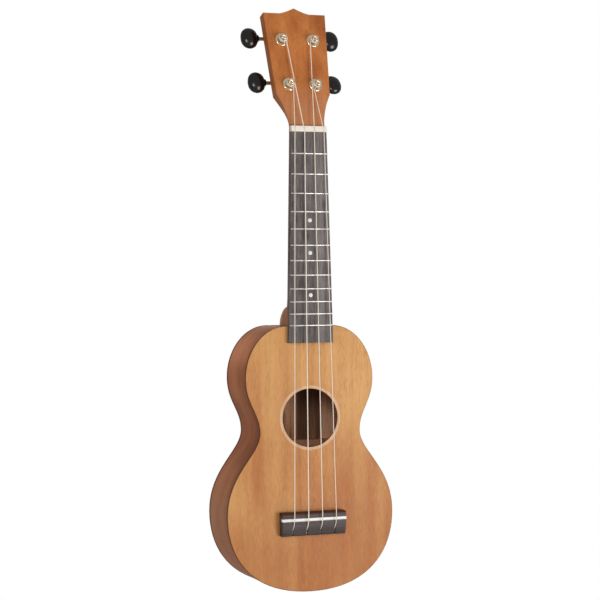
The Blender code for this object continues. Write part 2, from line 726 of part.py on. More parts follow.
def heel_levels():
    """Height, depth and roundness of the heel: a flat cap, a round shoulder and a hollow sweep."""
    face = BODY_TOP_Z + GLUE_GAP
    shoulder = face + HEEL_CAP_LENGTH
    throat = shoulder + HEEL_SHOULDER_LENGTH
    throat_depth = HEEL_DEPTH - HEEL_SHOULDER_DROP
    levels = [(face, HEEL_DEPTH, HEEL_ROUNDNESS), (shoulder, HEEL_DEPTH, HEEL_ROUNDNESS)]
    steps = range(1, HEEL_CURVE_STEPS + 1)
    for step in steps:
        share = step / HEEL_CURVE_STEPS
        angle = share * math.pi / 2
        drop = HEEL_SHOULDER_DROP * (1 - math.cos(angle))
        roundness = HEEL_ROUNDNESS + share * (NECK_ROUNDNESS - HEEL_ROUNDNESS)
        levels.append((shoulder + HEEL_SHOULDER_LENGTH * math.sin(angle), HEEL_DEPTH - drop, roundness))
    for step in steps:
        angle = step / HEEL_CURVE_STEPS * math.pi / 2
        drop = (throat_depth - NECK_DEPTH_AT_HEEL) * math.sin(angle)
        levels.append((throat + HEEL_SWEEP * (1 - math.cos(angle)), throat_depth - drop, NECK_ROUNDNESS))
    return levels


def neck_rings():
    """Rings from the heel up to the top of the headstock."""
    levels = heel_levels()
    neck_start = levels[-1][0]
    for z in (neck_start / 2, -NUT_THICKNESS):
        share = 1 - z / neck_start
        depth = NECK_DEPTH_AT_HEEL + share * (NECK_DEPTH_AT_NUT - NECK_DEPTH_AT_HEEL)
        levels.append((z, depth, NECK_ROUNDNESS))
    rings = []
    for z, depth, roundness in levels:
        place = Matrix.Translation((0, FACE_Y, z))
        rings.append(neck_ring(fretboard_half_width(z), depth, roundness, place))
    half_tilt = HEAD_MATRIX @ Matrix.Rotation(HEAD_TILT / 2, 4, "X")
    nut_half = NUT_WIDTH / 2
    rings.append(neck_ring(nut_half, NECK_DEPTH_AT_NUT, NECK_ROUNDNESS, half_tilt))
    flare = HEAD_CORNER_WIDTH / 2 - nut_half
    for k in range(1, HEAD_FLARE_STEPS + 1):
        share = k / HEAD_FLARE_STEPS
        spread = share ** HEAD_FLARE_POWER
        depth = NECK_DEPTH_AT_NUT + share * (HEAD_THICKNESS - NECK_DEPTH_AT_NUT)
        squareness = NECK_ROUNDNESS * (HEAD_SQUARENESS / NECK_ROUNDNESS) ** spread
        place = HEAD_MATRIX @ Matrix.Translation((0, 0, share * HEAD_CORNER_AT))
        rings.append(neck_ring(nut_half + spread * flare, depth, squareness, place))
    top = HEAD_LENGTH + CREST_HEIGHT
    place = HEAD_MATRIX @ Matrix.Translation((0, 0, top))
    rings.append(neck_ring(head_half_width(top), HEAD_THICKNESS, HEAD_SQUARENESS, place))
    return rings


def make_neck(wood):
    neck = make_object("neck", skin(neck_rings()), wood)
    over = HEAD_TOP_WIDTH
    half = CREST_WIDTH / 2
    right = []
    for k in range(CREST_STEPS + 1):
        share = k / CREST_STEPS
        right.append((half * share, HEAD_LENGTH + CREST_HEIGHT * (1 - share) ** CREST_POWER))
    right += [(over, HEAD_LENGTH), (over, HEAD_LENGTH + over)]
    outline = right + [(-x, z) for x, z in reversed(right[1:])]
    low = -HEAD_THICKNESS
    high = 2 * HEAD_THICKNESS
    waste = prism(outline, lambda x, z: HEAD_MATRIX @ Vector((x, low, z)),
                  lambda x, z: HEAD_MATRIX @ Vector((x, high, z)))
    combine(neck, "DIFFERENCE", "crest_cutter", waste)
    holes = bmesh.new()
    ring = circle(BUSHING_RADIUS + GLUE_GAP, ROUND_STEPS)
    for across, up in POSTS.values():
        add_skin(holes, [[HEAD_MATRIX @ Vector((across + x, y, up + z)) for x, z in ring]
                         for y in (low, high)])
    combine(neck, "DIFFERENCE", "post_holes", holes)
    even = neck.modifiers.new("even_shading", "WEIGHTED_NORMAL")
    even.keep_sharp = True


# Tuners
def make_post(name, parent, metal):
    """Turned post with a waist for the string, a cross hole and a stub for the wheel."""
    shoulder = WHEEL_FRONT - RUNNING_GAP
    flange_top = BUSHING_FLANGE_THICKNESS + GLUE_GAP
    lip = POST_RADIUS - POST_WAIST_RADIUS
    waist_top = POST_HOLE_HEIGHT + POST_HOLE_RADIUS
    stub = [(POST_STUB_RADIUS, WHEEL_FRONT + WHEEL_WIDTH + RUNNING_GAP), (POST_STUB_RADIUS, shoulder)]
    barrel = [(POST_RADIUS, shoulder), (POST_RADIUS, -flange_top)]
    waist = [(POST_WAIST_RADIUS, -flange_top - lip), (POST_WAIST_RADIUS, -waist_top)]
    cap = [(POST_RADIUS, -waist_top - lip), (POST_RADIUS, -POST_HEIGHT + lip),
           (POST_WAIST_RADIUS, -POST_HEIGHT)]
    shape = turned(stub + barrel + waist + cap, ROUND_STEPS)
    post = make_object("string_post_" + name, shape, metal, parent)
    reach = 2 * POST_RADIUS
    drill = skin([[Vector((x, -POST_HOLE_HEIGHT + y, z)) for x, y in circle(POST_HOLE_RADIUS, HOLE_STEPS)]
                  for z in (-reach, reach)])
    combine(post, "DIFFERENCE", "string_hole_" + name, drill)


def make_bushing(name, parent, metal):
    bore = POST_RADIUS + RUNNING_GAP
    top = -GLUE_GAP - BUSHING_FLANGE_THICKNESS
    edge = BUSHING_FLANGE_THICKNESS / 2
    profile = ((bore, BUSHING_LENGTH), (BUSHING_RADIUS, BUSHING_LENGTH), (BUSHING_RADIUS, -GLUE_GAP),
               (BUSHING_FLANGE_RADIUS, -GLUE_GAP), (BUSHING_FLANGE_RADIUS, top + edge),
               (BUSHING_FLANGE_RADIUS - edge, top), (bore, top))
    make_object("post_bushing_" + name, turned(profile, ROUND_STEPS, looped=True), metal, parent)


def make_wheel(name, parent, metal):
    """Worm wheel with teeth slanted to the worm's lead; a gap between teeth faces the worm."""
    tip = WHEEL_PITCH_RADIUS + TOOTH_ADDENDUM
    root = WHEEL_PITCH_RADIUS - TOOTH_DEDENDUM
    lead = WORM_PITCH / (2 * math.pi * WORM_PITCH_RADIUS)
    twist = lead / WHEEL_PITCH_RADIUS
    rings = []
    for y in (WHEEL_FRONT, WHEEL_FRONT + WHEEL_WIDTH):
        ring = []
        for k in range(WHEEL_TEETH):
            middle = 2 * math.pi * (k + 0.5) / WHEEL_TEETH + twist * (y - WORM_BACK)
            for radius, half in ((root, -TOOTH_ROOT_HALF), (tip, -TOOTH_TIP_HALF), (tip, TOOTH_TIP_HALF),
                                 (root, TOOTH_ROOT_HALF)):
                angle = middle + half / radius
                ring.append(Vector((radius * math.sin(angle), y, radius * math.cos(angle))))
        rings.append(ring)
    wheel = make_object("worm_wheel_" + name, skin(rings), metal, parent)
    bore = POST_STUB_RADIUS + RUNNING_GAP
    ends = (WHEEL_FRONT - WHEEL_WIDTH, WHEEL_FRONT + 2 * WHEEL_WIDTH)
    drill = skin([[Vector((x, y, z)) for x, z in circle(bore, HOLE_STEPS)] for y in ends])
    combine(wheel, "DIFFERENCE", "wheel_bore_" + name, drill)


def make_plate(name, parent, metal):
    """Base plate with two upturned ears that carry the worm shaft."""
    flat = PLATE_HALF_WIDTH
    corner = flat / 2
    top = PLATE_ABOVE_POST
    low = -PLATE_BELOW_POST
    right = ((corner, low), (flat, low + corner), (flat, top - corner), (corner, top))
    outline = list(right) + [(-x, z) for x, z in reversed(right)]
    base = prism(outline, lambda x, z: Vector((x, PLATE_FRONT, z)), lambda x, z: Vector((x, PLATE_BACK, z)))
    plate = make_object("tuner_plate_" + name, base, metal, parent)
    hole = WORM_SHAFT_RADIUS + RUNNING_GAP
    ears = bmesh.new()
    sunk = PLATE_THICKNESS / 2
    foot = PLATE_BACK - sunk - WORM_BACK
    angles = [math.pi * k / EAR_STEPS for k in range(EAR_STEPS + 1)]
    arch = [(EAR_HALF_LENGTH * math.cos(a), EAR_HALF_LENGTH * math.sin(a)) for a in angles]
    arch += [(-EAR_HALF_LENGTH, foot), (EAR_HALF_LENGTH, foot)]
    for inner in (-flat + EAR_INSET, flat - EAR_THICKNESS - EAR_INSET):
        add_skin(ears, [[Vector((x, WORM_BACK + y, WORM_CENTRE + z)) for z, y in arch]
                        for x in (inner, inner + EAR_THICKNESS)])
    combine(plate, "UNION", "plate_ears_" + name, ears)
    span = 2 * flat
    shaft_drill = skin([[Vector((x, WORM_BACK + y, WORM_CENTRE + z)) for y, z in circle(hole, HOLE_STEPS)]
                        for x in (-span, span)])
    combine(plate, "DIFFERENCE", "shaft_holes_" + name, shaft_drill)
    post_hole = POST_RADIUS + RUNNING_GAP
    post_drill = skin([[Vector((x, y, z)) for x, z in circle(post_hole, ROUND_STEPS)]
                       for y in (0.0, 2 * PLATE_BACK)])
    combine(plate, "DIFFERENCE", "post_hole_" + name, post_drill)


def make_worm(name, parent, side, metal):
    """Worm shaft: a right-hand thread on a rod that runs out to the knob."""
    outer_end = KNOB_INNER_END + KNOB_SOCKET_DEPTH - RUNNING_GAP
    ends = (-side * SHAFT_INNER_END, side * outer_end)
    rod = skin([[Vector((x, y, z)) for y, z in circle(WORM_SHAFT_RADIUS, HOLE_STEPS)] for x in ends])
    shaft = make_object("worm_shaft_" + name, rod, metal, parent)
    crest = WORM_PITCH_RADIUS + WORM_ADDENDUM
    base = WORM_SHAFT_RADIUS - WORM_THREAD_SINK
    steps = round(WORM_TURNS * WORM_STEPS)
    rings = []
    for k in range(steps + 1):
        turn = (k / steps - 0.5) * WORM_TURNS * 2 * math.pi
        x = WORM_PITCH * turn / (2 * math.pi)
        height = crest if 0 < k < steps else WORM_SHAFT_RADIUS
        outward = Vector((0, math.cos(turn - math.pi / 2), math.sin(turn - math.pi / 2)))
        corners = ((-WORM_ROOT_HALF, base), (-WORM_CREST_HALF, height), (WORM_CREST_HALF, height),
                   (WORM_ROOT_HALF, base))
        rings.append([Vector((x + along, 0, 0)) + radius * outward for along, radius in corners])
    combine(shaft, "UNION", "worm_thread_" + name, skin(rings))


def make_knob(name, parent, side, plastic):
    """Plump oval button with a short collar and a blind socket for the shaft."""
    first, last = KNOB_BULB_ANGLES
    half = (KNOB_LENGTH - KNOB_BULB_START) / (math.cos(first) - math.cos(last))
    middle = KNOB_BULB_START + half * math.cos(first)
    stations = [(along, KNOB_COLLAR_RADIUS, KNOB_COLLAR_RADIUS) for along in (0.0, KNOB_COLLAR_LENGTH)]
    for k in range(KNOB_BULB_STEPS + 1):
        angle = first + (last - first) * k / KNOB_BULB_STEPS
        fullness = math.sin(angle) ** KNOB_BULB_FULLNESS
        along = middle - half * math.cos(angle)
        stations.append((along, fullness * KNOB_THICKNESS / 2, fullness * KNOB_WIDTH / 2))
    turn = Matrix.Rotation(KNOB_REST_TURNS[name], 3, "X")
    rings = []
    for along, thick, wide in stations:
        x = side * (KNOB_INNER_END + along)
        rings.append([turn @ Vector((x, thick * c, wide * s)) for c, s in circle(1.0, ROUND_STEPS)])
    knob = make_object("tuner_knob_" + name, skin(rings), plastic, parent)
    socket = WORM_SHAFT_RADIUS + RUNNING_GAP
    ends = (side * (KNOB_INNER_END - KNOB_SOCKET_DEPTH), side * (KNOB_INNER_END + KNOB_SOCKET_DEPTH))
    drill = skin([[Vector((x, y, z)) for y, z in circle(socket, HOLE_STEPS)] for x in ends])
    combine(knob, "DIFFERENCE", "knob_socket_" + name, drill)


def make_tuners(nickel, plastic):
    head = make_empty("head_frame", HEAD_MATRIX)
    for index, name in enumerate(STRING_NAMES):
        across, up = POSTS[name]
        post_axis = make_empty("post_axis_" + name, Matrix.Translation((across, 0, up)), head)
        worm_place = Matrix.Translation((across, WORM_BACK, up + WORM_CENTRE))
        worm_axis = make_empty("worm_axis_" + name, worm_place, head)
        make_post(name, post_axis, nickel)
        make_wheel(name, post_axis, nickel)
        make_bushing(name, post_axis, nickel)
        make_plate(name, post_axis, nickel)
        make_worm(name, worm_axis, post_side(index), nickel)
        make_knob(name, worm_axis, post_side(index), plastic)


def main():
    clear_scene()
    top_wood = make_material("top_wood", (0.60, 0.32, 0.13), 0.5)
    body_wood = make_material("body_wood", (0.30, 0.12, 0.05), 0.5)
    neck_wood = make_material("neck_wood", (0.45, 0.19, 0.07), 0.5)
    dark_wood = make_material("dark_wood", (0.05, 0.04, 0.035), 0.55)
    pale_wood = make_material("pale_wood", (0.72, 0.55, 0.33), 0.5)
    inner_wood = make_material("inner_wood", (0.62, 0.44, 0.26), 0.7)
    bone = make_material("bone", (0.86, 0.84, 0.78), 0.4)
    nickel = make_material("nickel", (0.78, 0.76, 0.72), 0.25, 1.0)
    fret_metal = make_material("fret_metal", (0.70, 0.69, 0.67), 0.3, 1.0)
    black_plastic = make_material("black_plastic", (0.012, 0.011, 0.011), 0.2)
    nylon = make_material("nylon", (0.85, 0.80, 0.74), 0.35)
    make_soundboard(top_wood, pale_wood)
    make_back(body_wood)
    make_sides(body_wood)
    make_blocks(inner_wood)
    for name, down in TOP_BRACES_AT.items():
        make_brace(name, down, RIM_FRONT, 1, inner_wood)
    for name, down in BACK_BRACES_AT.items():
        make_brace(name, down, RIM_BACK, -1, inner_wood)
    make_bridge_plate(inner_wood)
    make_neck(neck_wood)
    make_fretboard(dark_wood, bone)
    make_frets(fret_metal)
    make_nut(bone)
    make_bridge(dark_wood, bone)
    make_tuners(nickel, black_plastic)
    make_strings(nylon)


main()
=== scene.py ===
"""Looks of the soprano ukulele: its pieces in fine detail, their finishes, the light and the camera."""
import math

import bmesh
import bpy
from mathutils import Matrix, Vector


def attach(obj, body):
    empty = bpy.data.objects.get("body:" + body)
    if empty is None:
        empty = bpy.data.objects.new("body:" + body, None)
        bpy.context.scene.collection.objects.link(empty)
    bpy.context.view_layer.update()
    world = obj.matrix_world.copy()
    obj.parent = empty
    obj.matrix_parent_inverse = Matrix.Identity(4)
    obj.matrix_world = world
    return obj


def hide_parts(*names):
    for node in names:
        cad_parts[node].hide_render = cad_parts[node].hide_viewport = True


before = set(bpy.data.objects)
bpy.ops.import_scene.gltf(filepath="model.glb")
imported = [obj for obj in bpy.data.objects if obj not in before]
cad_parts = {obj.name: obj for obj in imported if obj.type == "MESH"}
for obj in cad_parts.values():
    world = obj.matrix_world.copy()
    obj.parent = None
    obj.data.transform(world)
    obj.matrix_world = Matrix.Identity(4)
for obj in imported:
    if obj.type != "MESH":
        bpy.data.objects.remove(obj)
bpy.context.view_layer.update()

# Fretboard, nut and saddle, in metres
SCALE_LENGTH = 0.345
FRET_COUNT = 12
NUT_WIDTH = 0.0338
FRETBOARD_END_WIDTH = 0.0422
FRETBOARD_END_Z = -0.188
FRETBOARD_EDGE = 0.0004
FACE_Y = 0.0047
FRET_HALF = 0.0009
FRET_HEIGHT = 0.0009
FRET_FULLNESS = 0.8
FRET_FOOT = 0.0004
FRET_EDGE = 0.00012
FRET_END_INSET = 0.0003
FRET_END_SLOPE = 0.45
DOT_FRETS = (5, 7, 10)
DOT_RADIUS = 0.0018
DOT_CROWN = 0.0001
DOT_DEPTH = 0.0010
NUT_THICKNESS = 0.0054
NUT_CROWN = 0.0020
NUT_BACK_DROP = 0.0016
NUT_GROOVE_GAP = 0.00012
BONE_EDGE = 0.0005
SADDLE_Z = -SCALE_LENGTH
SADDLE_HALF = 0.0013
SADDLE_LENGTH = 0.0608
SADDLE_TOP = -0.0062
SADDLE_FLOOR = -0.0002

# Strings, as the solids have them
STRING_DIAMETERS = {"g": 0.00076, "c": 0.00096, "e": 0.00081, "a": 0.00071}
NUT_STRING_SPACING = 0.0092
NUT_STRING_Y = -0.0016
SADDLE_STRING_SPACING = 0.0132
SADDLE_STRING_Y = -0.0065
WINDING_TURNS = 2.25
WINDING_START = 0.0027
WINDING_GAP = 0.0003
STRING_BEND = math.radians(25.0)
STRING_BEND_DEPTH = 0.0012
STRING_TAIL = 0.0030
STRING_EDGE_LIFT = 0.0001
STRING_EDGE_FORWARD = 0.0002
SADDLE_BEND = 0.0010
SADDLE_BEND_CUT = 0.0003
SLOT_BEND = 0.0006
KNOT_TURNS = 2
KNOT_RADIUS = 1.05

# Bridge
BRIDGE_HALF = 0.0302
BRIDGE_TOP = -0.0036
BRIDGE_FRONT_Z = SADDLE_Z + 0.0064
BRIDGE_REAR_Z = SADDLE_Z - 0.0147
BRIDGE_REAR_TOP = BRIDGE_TOP + 0.0022
BRIDGE_SLOPE_Z = SADDLE_Z - 0.0058
BRIDGE_ROUND = 0.0018
BRIDGE_EDGE = 0.0006
SADDLE_SLOT_GAP = 0.0001
STRING_SLOT_GAP = 0.0003
SAW_OVERSHOOT = 0.002
KNOT_Z = SADDLE_Z - 0.0118
KNOT_Y = BRIDGE_TOP + 0.0048
KNOT_POCKET = 0.0017

# Body
BODY_TOP_Z = -0.1727
HEEL_FLAT = 0.0220
UPPER_BOUT = (0.0606, BODY_TOP_Z - 0.0470)
WAIST = (0.0476, BODY_TOP_Z - 0.0950)
LOWER_BOUT = (0.0787, BODY_TOP_Z - 0.1684)
TAIL_Z = BODY_TOP_Z - 0.2379
SHOULDER_FULLNESS = (0.57, 0.525)
UPPER_CURVE_FULLNESS = (0.46, 0.37)
LOWER_CURVE_FULLNESS = (0.26, 0.53)
TAIL_FULLNESS = (0.58, 0.665)
BACK_Y = 0.0608
RIM_FRONT = 0.0070
RIM_BACK = 0.0583
PLATE_EDGE = 0.0010
OVERHANG = 0.0003
SIDE_THICKNESS = 0.0018
SIDE_JOINT = 0.00005
LINING_HEIGHT = 0.0050
LINING_THICKNESS = 0.0030
LINING_EDGE = 0.0008
BLOCK_HALF = 0.0218
HOLE_Z = -0.2552
HOLE_RADIUS = 0.02615
ROSETTE_WIDTH = 0.0028
ROSETTE_DEPTH = 0.0010
ROSETTE_EDGE = 0.0002

# Neck and headstock
NECK_DEPTH_AT_NUT = 0.0130
NECK_DEPTH_AT_HEEL = 0.0150
NECK_ROUNDNESS = 1.7
HEEL_ROUNDNESS = 2.3
NECK_CORNER = 0.0005
NECK_END_Z = -0.002
HEEL_DEPTH = 0.0490
HEEL_EDGE = 0.0006
HEEL_CAP_LENGTH = 0.0030
HEEL_SHOULDER_LENGTH = 0.0136
HEEL_SHOULDER_DROP = 0.0220
HEEL_SWEEP = 0.0110
HEAD_TILT = math.radians(16.5)
HEAD_FOOT_Z = 0.0057
HEAD_THICKNESS = 0.0120
HEAD_LENGTH = 0.1095
HEAD_TOP_WIDTH = 0.0598
HEAD_CORNER_WIDTH = 0.0514
HEAD_CORNER_AT = 0.0310
HEAD_SQUARENESS = 14.0
HEAD_FLARE_POWER = 1.8
CREST_HALF = 0.0145
CREST_HEIGHT = 0.00555
CREST_POWER = 1.35

# Tuners, in the headstock's own frame
POST_SIDES = {"g": -1, "c": -1, "e": 1, "a": 1}
POST_UP = {"g": 0.0395, "c": 0.0830, "e": 0.0830, "a": 0.0395}
POST_FROM_EDGE = 0.0135
POST_RADIUS = 0.0030
POST_WAIST = 0.0026
POST_HEIGHT = 0.0087
POST_STUB = 0.0020
POST_HOLE_RADIUS = 0.0011
POST_HOLE_HEIGHT = 0.0063
POST_ROUND = 0.0005
POST_GAP = 0.0003
POST_DIMPLE = ((0.0015, 0.0), (0.0012, 0.0005), (0.0006, 0.0009), (0.0, 0.0010))
BUSHING_RADIUS = 0.0043
BUSHING_LENGTH = 0.0080
FLANGE_RADIUS = 0.0063
FLANGE_TOP = 0.0016
FLANGE_ROUND = 0.0009
PLATE_BACK = 0.0135
PLATE_HALF = 0.0068
PLATE_LOW = -0.0100
PLATE_HIGH = 0.0185
PLATE_CORNER = 0.0042
PLATE_ROUND = 0.0002
EAR_THICKNESS = 0.0012
EAR_HALF = 0.0037
EAR_INSET = 0.00015
EAR_ROOT = 0.0006
EAR_ROUND = 0.00015
WHEEL_FRONT = 0.0165
WHEEL_WIDTH = 0.0040
WHEEL_TEETH = 14
WHEEL_PITCH_RADIUS = 0.0063
WHEEL_TIP = 0.00695
WHEEL_ROOT = 0.0054
TOOTH_TIP_HALF = 0.00030
TOOTH_ROOT_HALF = 0.00080
WHEEL_RIM = 0.0014
WHEEL_DISH = 0.0004
WHEEL_EDGE = 0.00010
WHEEL_BORE_GAP = 0.0001
WORM_BACK = 0.0185
WORM_CENTRE = 0.0090
WORM_PITCH = math.pi * 0.0009
WORM_PITCH_RADIUS = 0.0027
WORM_CREST = 0.0034
WORM_TURNS = 2.75
WORM_CREST_HALF = 0.00028
WORM_ROOT_HALF = 0.00085
WORM_CREST_DROP = 0.00012
WORM_SINK = 0.0004
SHAFT_RADIUS = 0.00175
SHAFT_GAP = 0.0002
SHAFT_EDGE = 0.0004
SHAFT_INNER_END = 0.0078
SHAFT_OUTER_END = 0.0252
KNOB_INNER_END = 0.0155
KNOB_LENGTH = 0.0166
KNOB_HALF_WIDTH = 0.0100
KNOB_HALF_THICKNESS = 0.0051
KNOB_COLLAR_RADIUS = 0.0034
KNOB_COLLAR_EDGE = ((0.0, 0.0004), (0.0002, 0.0001), (0.0005, 0.0), (0.0006, 0.0))
KNOB_BULB_START = 0.0010
KNOB_BULB_ANGLES = (math.radians(20.0), math.radians(172.0))
KNOB_BULB_FULLNESS = 0.8
KNOB_REST_TURNS = {"g": 0.0, "c": 0.0, "e": 0.0, "a": math.radians(-16.0)}
PLATE_SCREW = (0.0014, 0.0008)
PLATE_SCREWS = (("low", -0.0084, 25.0), ("high", 0.0157, 70.0))
WHEEL_SCREW = (0.0026, 0.0011)
WHEEL_SCREW_SINK = 0.0002
SCREW_SINK = 0.0005
SCREW_SLOT_HALF = 0.00022

HEAD = Matrix.Translation((0, FACE_Y, HEAD_FOOT_Z)) @ Matrix.Rotation(-HEAD_TILT, 4, "X")
UPRIGHT = Matrix.Rotation(math.pi / 2, 4, "X")
FULL_TURN = 2 * math.pi
FIXED = "body_and_neck"


def shares(steps):
    """Even shares from 0 to 1."""
    return [k / steps for k in range(steps + 1)]


def fret_z(number):
    return -SCALE_LENGTH * (1 - 2 ** (-number / 12))


def fretboard_half(z):
    return (NUT_WIDTH + (FRETBOARD_END_WIDTH - NUT_WIDTH) * z / FRETBOARD_END_Z) / 2


def head_half(up):
    widening = (HEAD_TOP_WIDTH - HEAD_CORNER_WIDTH) / (HEAD_LENGTH - HEAD_CORNER_AT)
    return (HEAD_CORNER_WIDTH + widening * (up - HEAD_CORNER_AT)) / 2


POSTS = {name: (side * (head_half(POST_UP[name]) - POST_FROM_EDGE), POST_UP[name])
         for name, side in POST_SIDES.items()}


# Workbench: small steps that the pieces are modelled with
def take(piece):
    bpy.ops.object.select_all(action="DESELECT")
    piece.select_set(True)
    bpy.context.view_layer.objects.active = piece


def named(name):
    """The object that an operator has just added, under its own name."""
    piece = bpy.context.object
    piece.name = name
    piece.data.name = name
    return piece


def edit(piece):
    take(piece)
    bpy.ops.object.mode_set(mode="EDIT")
    bpy.ops.mesh.select_all(action="SELECT")


def close(piece):
    """Merge what lies together, face everything outwards and leave edit mode."""
    bpy.ops.mesh.select_all(action="SELECT")
    bpy.ops.mesh.remove_doubles(threshold=0.000001)
    bpy.ops.mesh.delete_loose()
    bpy.ops.mesh.select_all(action="SELECT")
    bpy.ops.mesh.normals_make_consistent(inside=False)
    bpy.ops.object.mode_set(mode="OBJECT")
    return piece


def pick_edges(test):
    """Select the edges whose two ends pass a test, in edit mode."""
    mesh = bpy.context.object.data
    shape = bmesh.from_edit_mesh(mesh)
    bpy.ops.mesh.select_mode(type="EDGE")
    bpy.ops.mesh.select_all(action="DESELECT")
    for edge in shape.edges:
        edge.select_set(test(edge.verts[0].co, edge.verts[1].co))
    bmesh.update_edit_mesh(mesh)


def finish_with(piece, kind, **settings):
    """Add a modifier with its settings and apply it."""
    take(piece)
    modifier = piece.modifiers.new(kind.lower(), kind)
    for key, value in settings.items():
        setattr(modifier, key, value)
    bpy.ops.object.modifier_apply(modifier=modifier.name)
    return piece


def rounded(piece, width, steps=3, angle=35.0):
    return finish_with(piece, "BEVEL", width=width, segments=steps, limit_method="ANGLE",
                       angle_limit=math.radians(angle), harden_normals=False)


def combined(piece, operation, helper):
    """Cut a helper shape out of a piece, or join it on; the helper goes."""
    finish_with(piece, "BOOLEAN", operation=operation, solver="EXACT", object=helper)
    bpy.data.objects.remove(helper, do_unlink=True)
    return piece


def smooth(piece, angle=35.0):
    take(piece)
    bpy.ops.object.shade_smooth_by_angle(angle=math.radians(angle))
    return piece


def placed(piece, matrix):
    take(piece)
    piece.matrix_world = matrix
    bpy.ops.object.transform_apply(location=True, rotation=True, scale=True)
    return piece


def copied(piece, name, matrix):
    take(piece)
    bpy.ops.object.duplicate(linked=False)
    return placed(named(name), matrix)


def discard(*pieces):
    for piece in pieces:
        bpy.data.objects.remove(piece, do_unlink=True)


def slab(name, points, push):
    """Prism: a filled ring of edges laid on the points, then pushed along a vector."""
    bpy.ops.mesh.primitive_circle_add(vertices=len(points), fill_type="NGON")
    piece = named(name)
    for vertex, point in zip(piece.data.vertices, points):
        vertex.co = point
    edit(piece)
    bpy.ops.mesh.extrude_region_move(TRANSFORM_OT_translate={"value": push})
    return close(piece)


def block(name, low, high):
    """Box between two corners."""
    low = Vector(low)
    high = Vector(high)
    bpy.ops.mesh.primitive_cube_add(size=1.0)
    return placed(named(name), Matrix.LocRotScale((low + high) / 2, None, high - low))


def rod(name, start, end, radius, steps=24):
    """Round bar between two points."""
    start = Vector(start)
    end = Vector(end)
    bpy.ops.mesh.primitive_cylinder_add(vertices=steps, radius=radius, depth=(end - start).length)
    turn = (end - start).to_track_quat("Z", "Y")
    return placed(named(name), Matrix.LocRotScale((start + end) / 2, turn, None))


def turned(name, profile, steps=48):
    """Piece turned about the Y axis from a closed row of (radius, y) points."""
    bpy.ops.mesh.primitive_circle_add(vertices=len(profile), fill_type="NOTHING")
    piece = named(name)
    for vertex, (radius, y) in zip(piece.data.vertices, profile):
        vertex.co = (radius, y, 0.0)
    edit(piece)
    bpy.ops.mesh.spin(steps=steps, angle=FULL_TURN, center=(0, 0, 0), axis=(0, 1, 0))
    return close(piece)


def lofted(name, rings):
    """Closed skin over a row of rings: a flat grid whose rows are laid on them, with its ends filled."""
    around = len(rings[0])
    along = len(rings) - 1
    bpy.ops.mesh.primitive_grid_add(x_subdivisions=around, y_subdivisions=along, size=2.0)
    piece = named(name)
    for vertex in piece.data.vertices:
        k = round((vertex.co.x + 1) / 2 * around) % around
        row = round((vertex.co.y + 1) / 2 * along)
        vertex.co = rings[row][k]
    edit(piece)
    bpy.ops.mesh.remove_doubles(threshold=0.000001)
    bpy.ops.mesh.fill_holes(sides=0)
    return close(piece)


def arc(centre, radius, first, last, steps):
    """Points of a flat arc between two angles in degrees."""
    angles = [math.radians(first + (last - first) * share) for share in shares(steps)]
    return [(centre[0] + radius * math.cos(a), centre[1] + radius * math.sin(a)) for a in angles]


# Finishes
class Value:
    """A shader socket that takes part in sums: each operator adds one Math node."""

    def __init__(self, nodes, socket):
        self.nodes = nodes
        self.socket = socket

    def maths(self, operation, first, second=0.0):
        return self.nodes.node("ShaderNodeMath", {"operation": operation}, {0: first, 1: second})

    def __add__(self, other):
        return self.maths("ADD", self, other)

    __radd__ = __add__

    def __sub__(self, other):
        return self.maths("SUBTRACT", self, other)

    def __rsub__(self, other):
        return self.maths("SUBTRACT", other, self)

    def __mul__(self, other):
        return self.maths("MULTIPLY", self, other)

    __rmul__ = __mul__

    def __abs__(self):
        return self.maths("ABSOLUTE", self)

    def at_least(self, other):
        return self.maths("MAXIMUM", self, other)

    def between(self, low, high):
        """0 below low, 1 above high and a smooth rise between them."""
        return self.nodes.node("ShaderNodeMapRange", {"interpolation_type": "SMOOTHSTEP"},
                               {"Value": self, "From Min": low, "From Max": high})

    def other(self, output):
        return Value(self.nodes, self.socket.node.outputs[output])


class Nodes:
    """The nodes of a material or of the world."""

    def __init__(self, tree):
        self.tree = tree

    def give(self, socket, value):
        if isinstance(value, Value):
            self.tree.links.new(value.socket, socket)
        else:
            socket.default_value = value

    def node(self, kind, settings, sockets, output=0):
        made = self.tree.nodes.new(kind)
        for key, setting in settings.items():
            setattr(made, key, setting)
        for key, value in sockets.items():
            self.give(made.inputs[key], value)
        return Value(self, made.outputs[output])


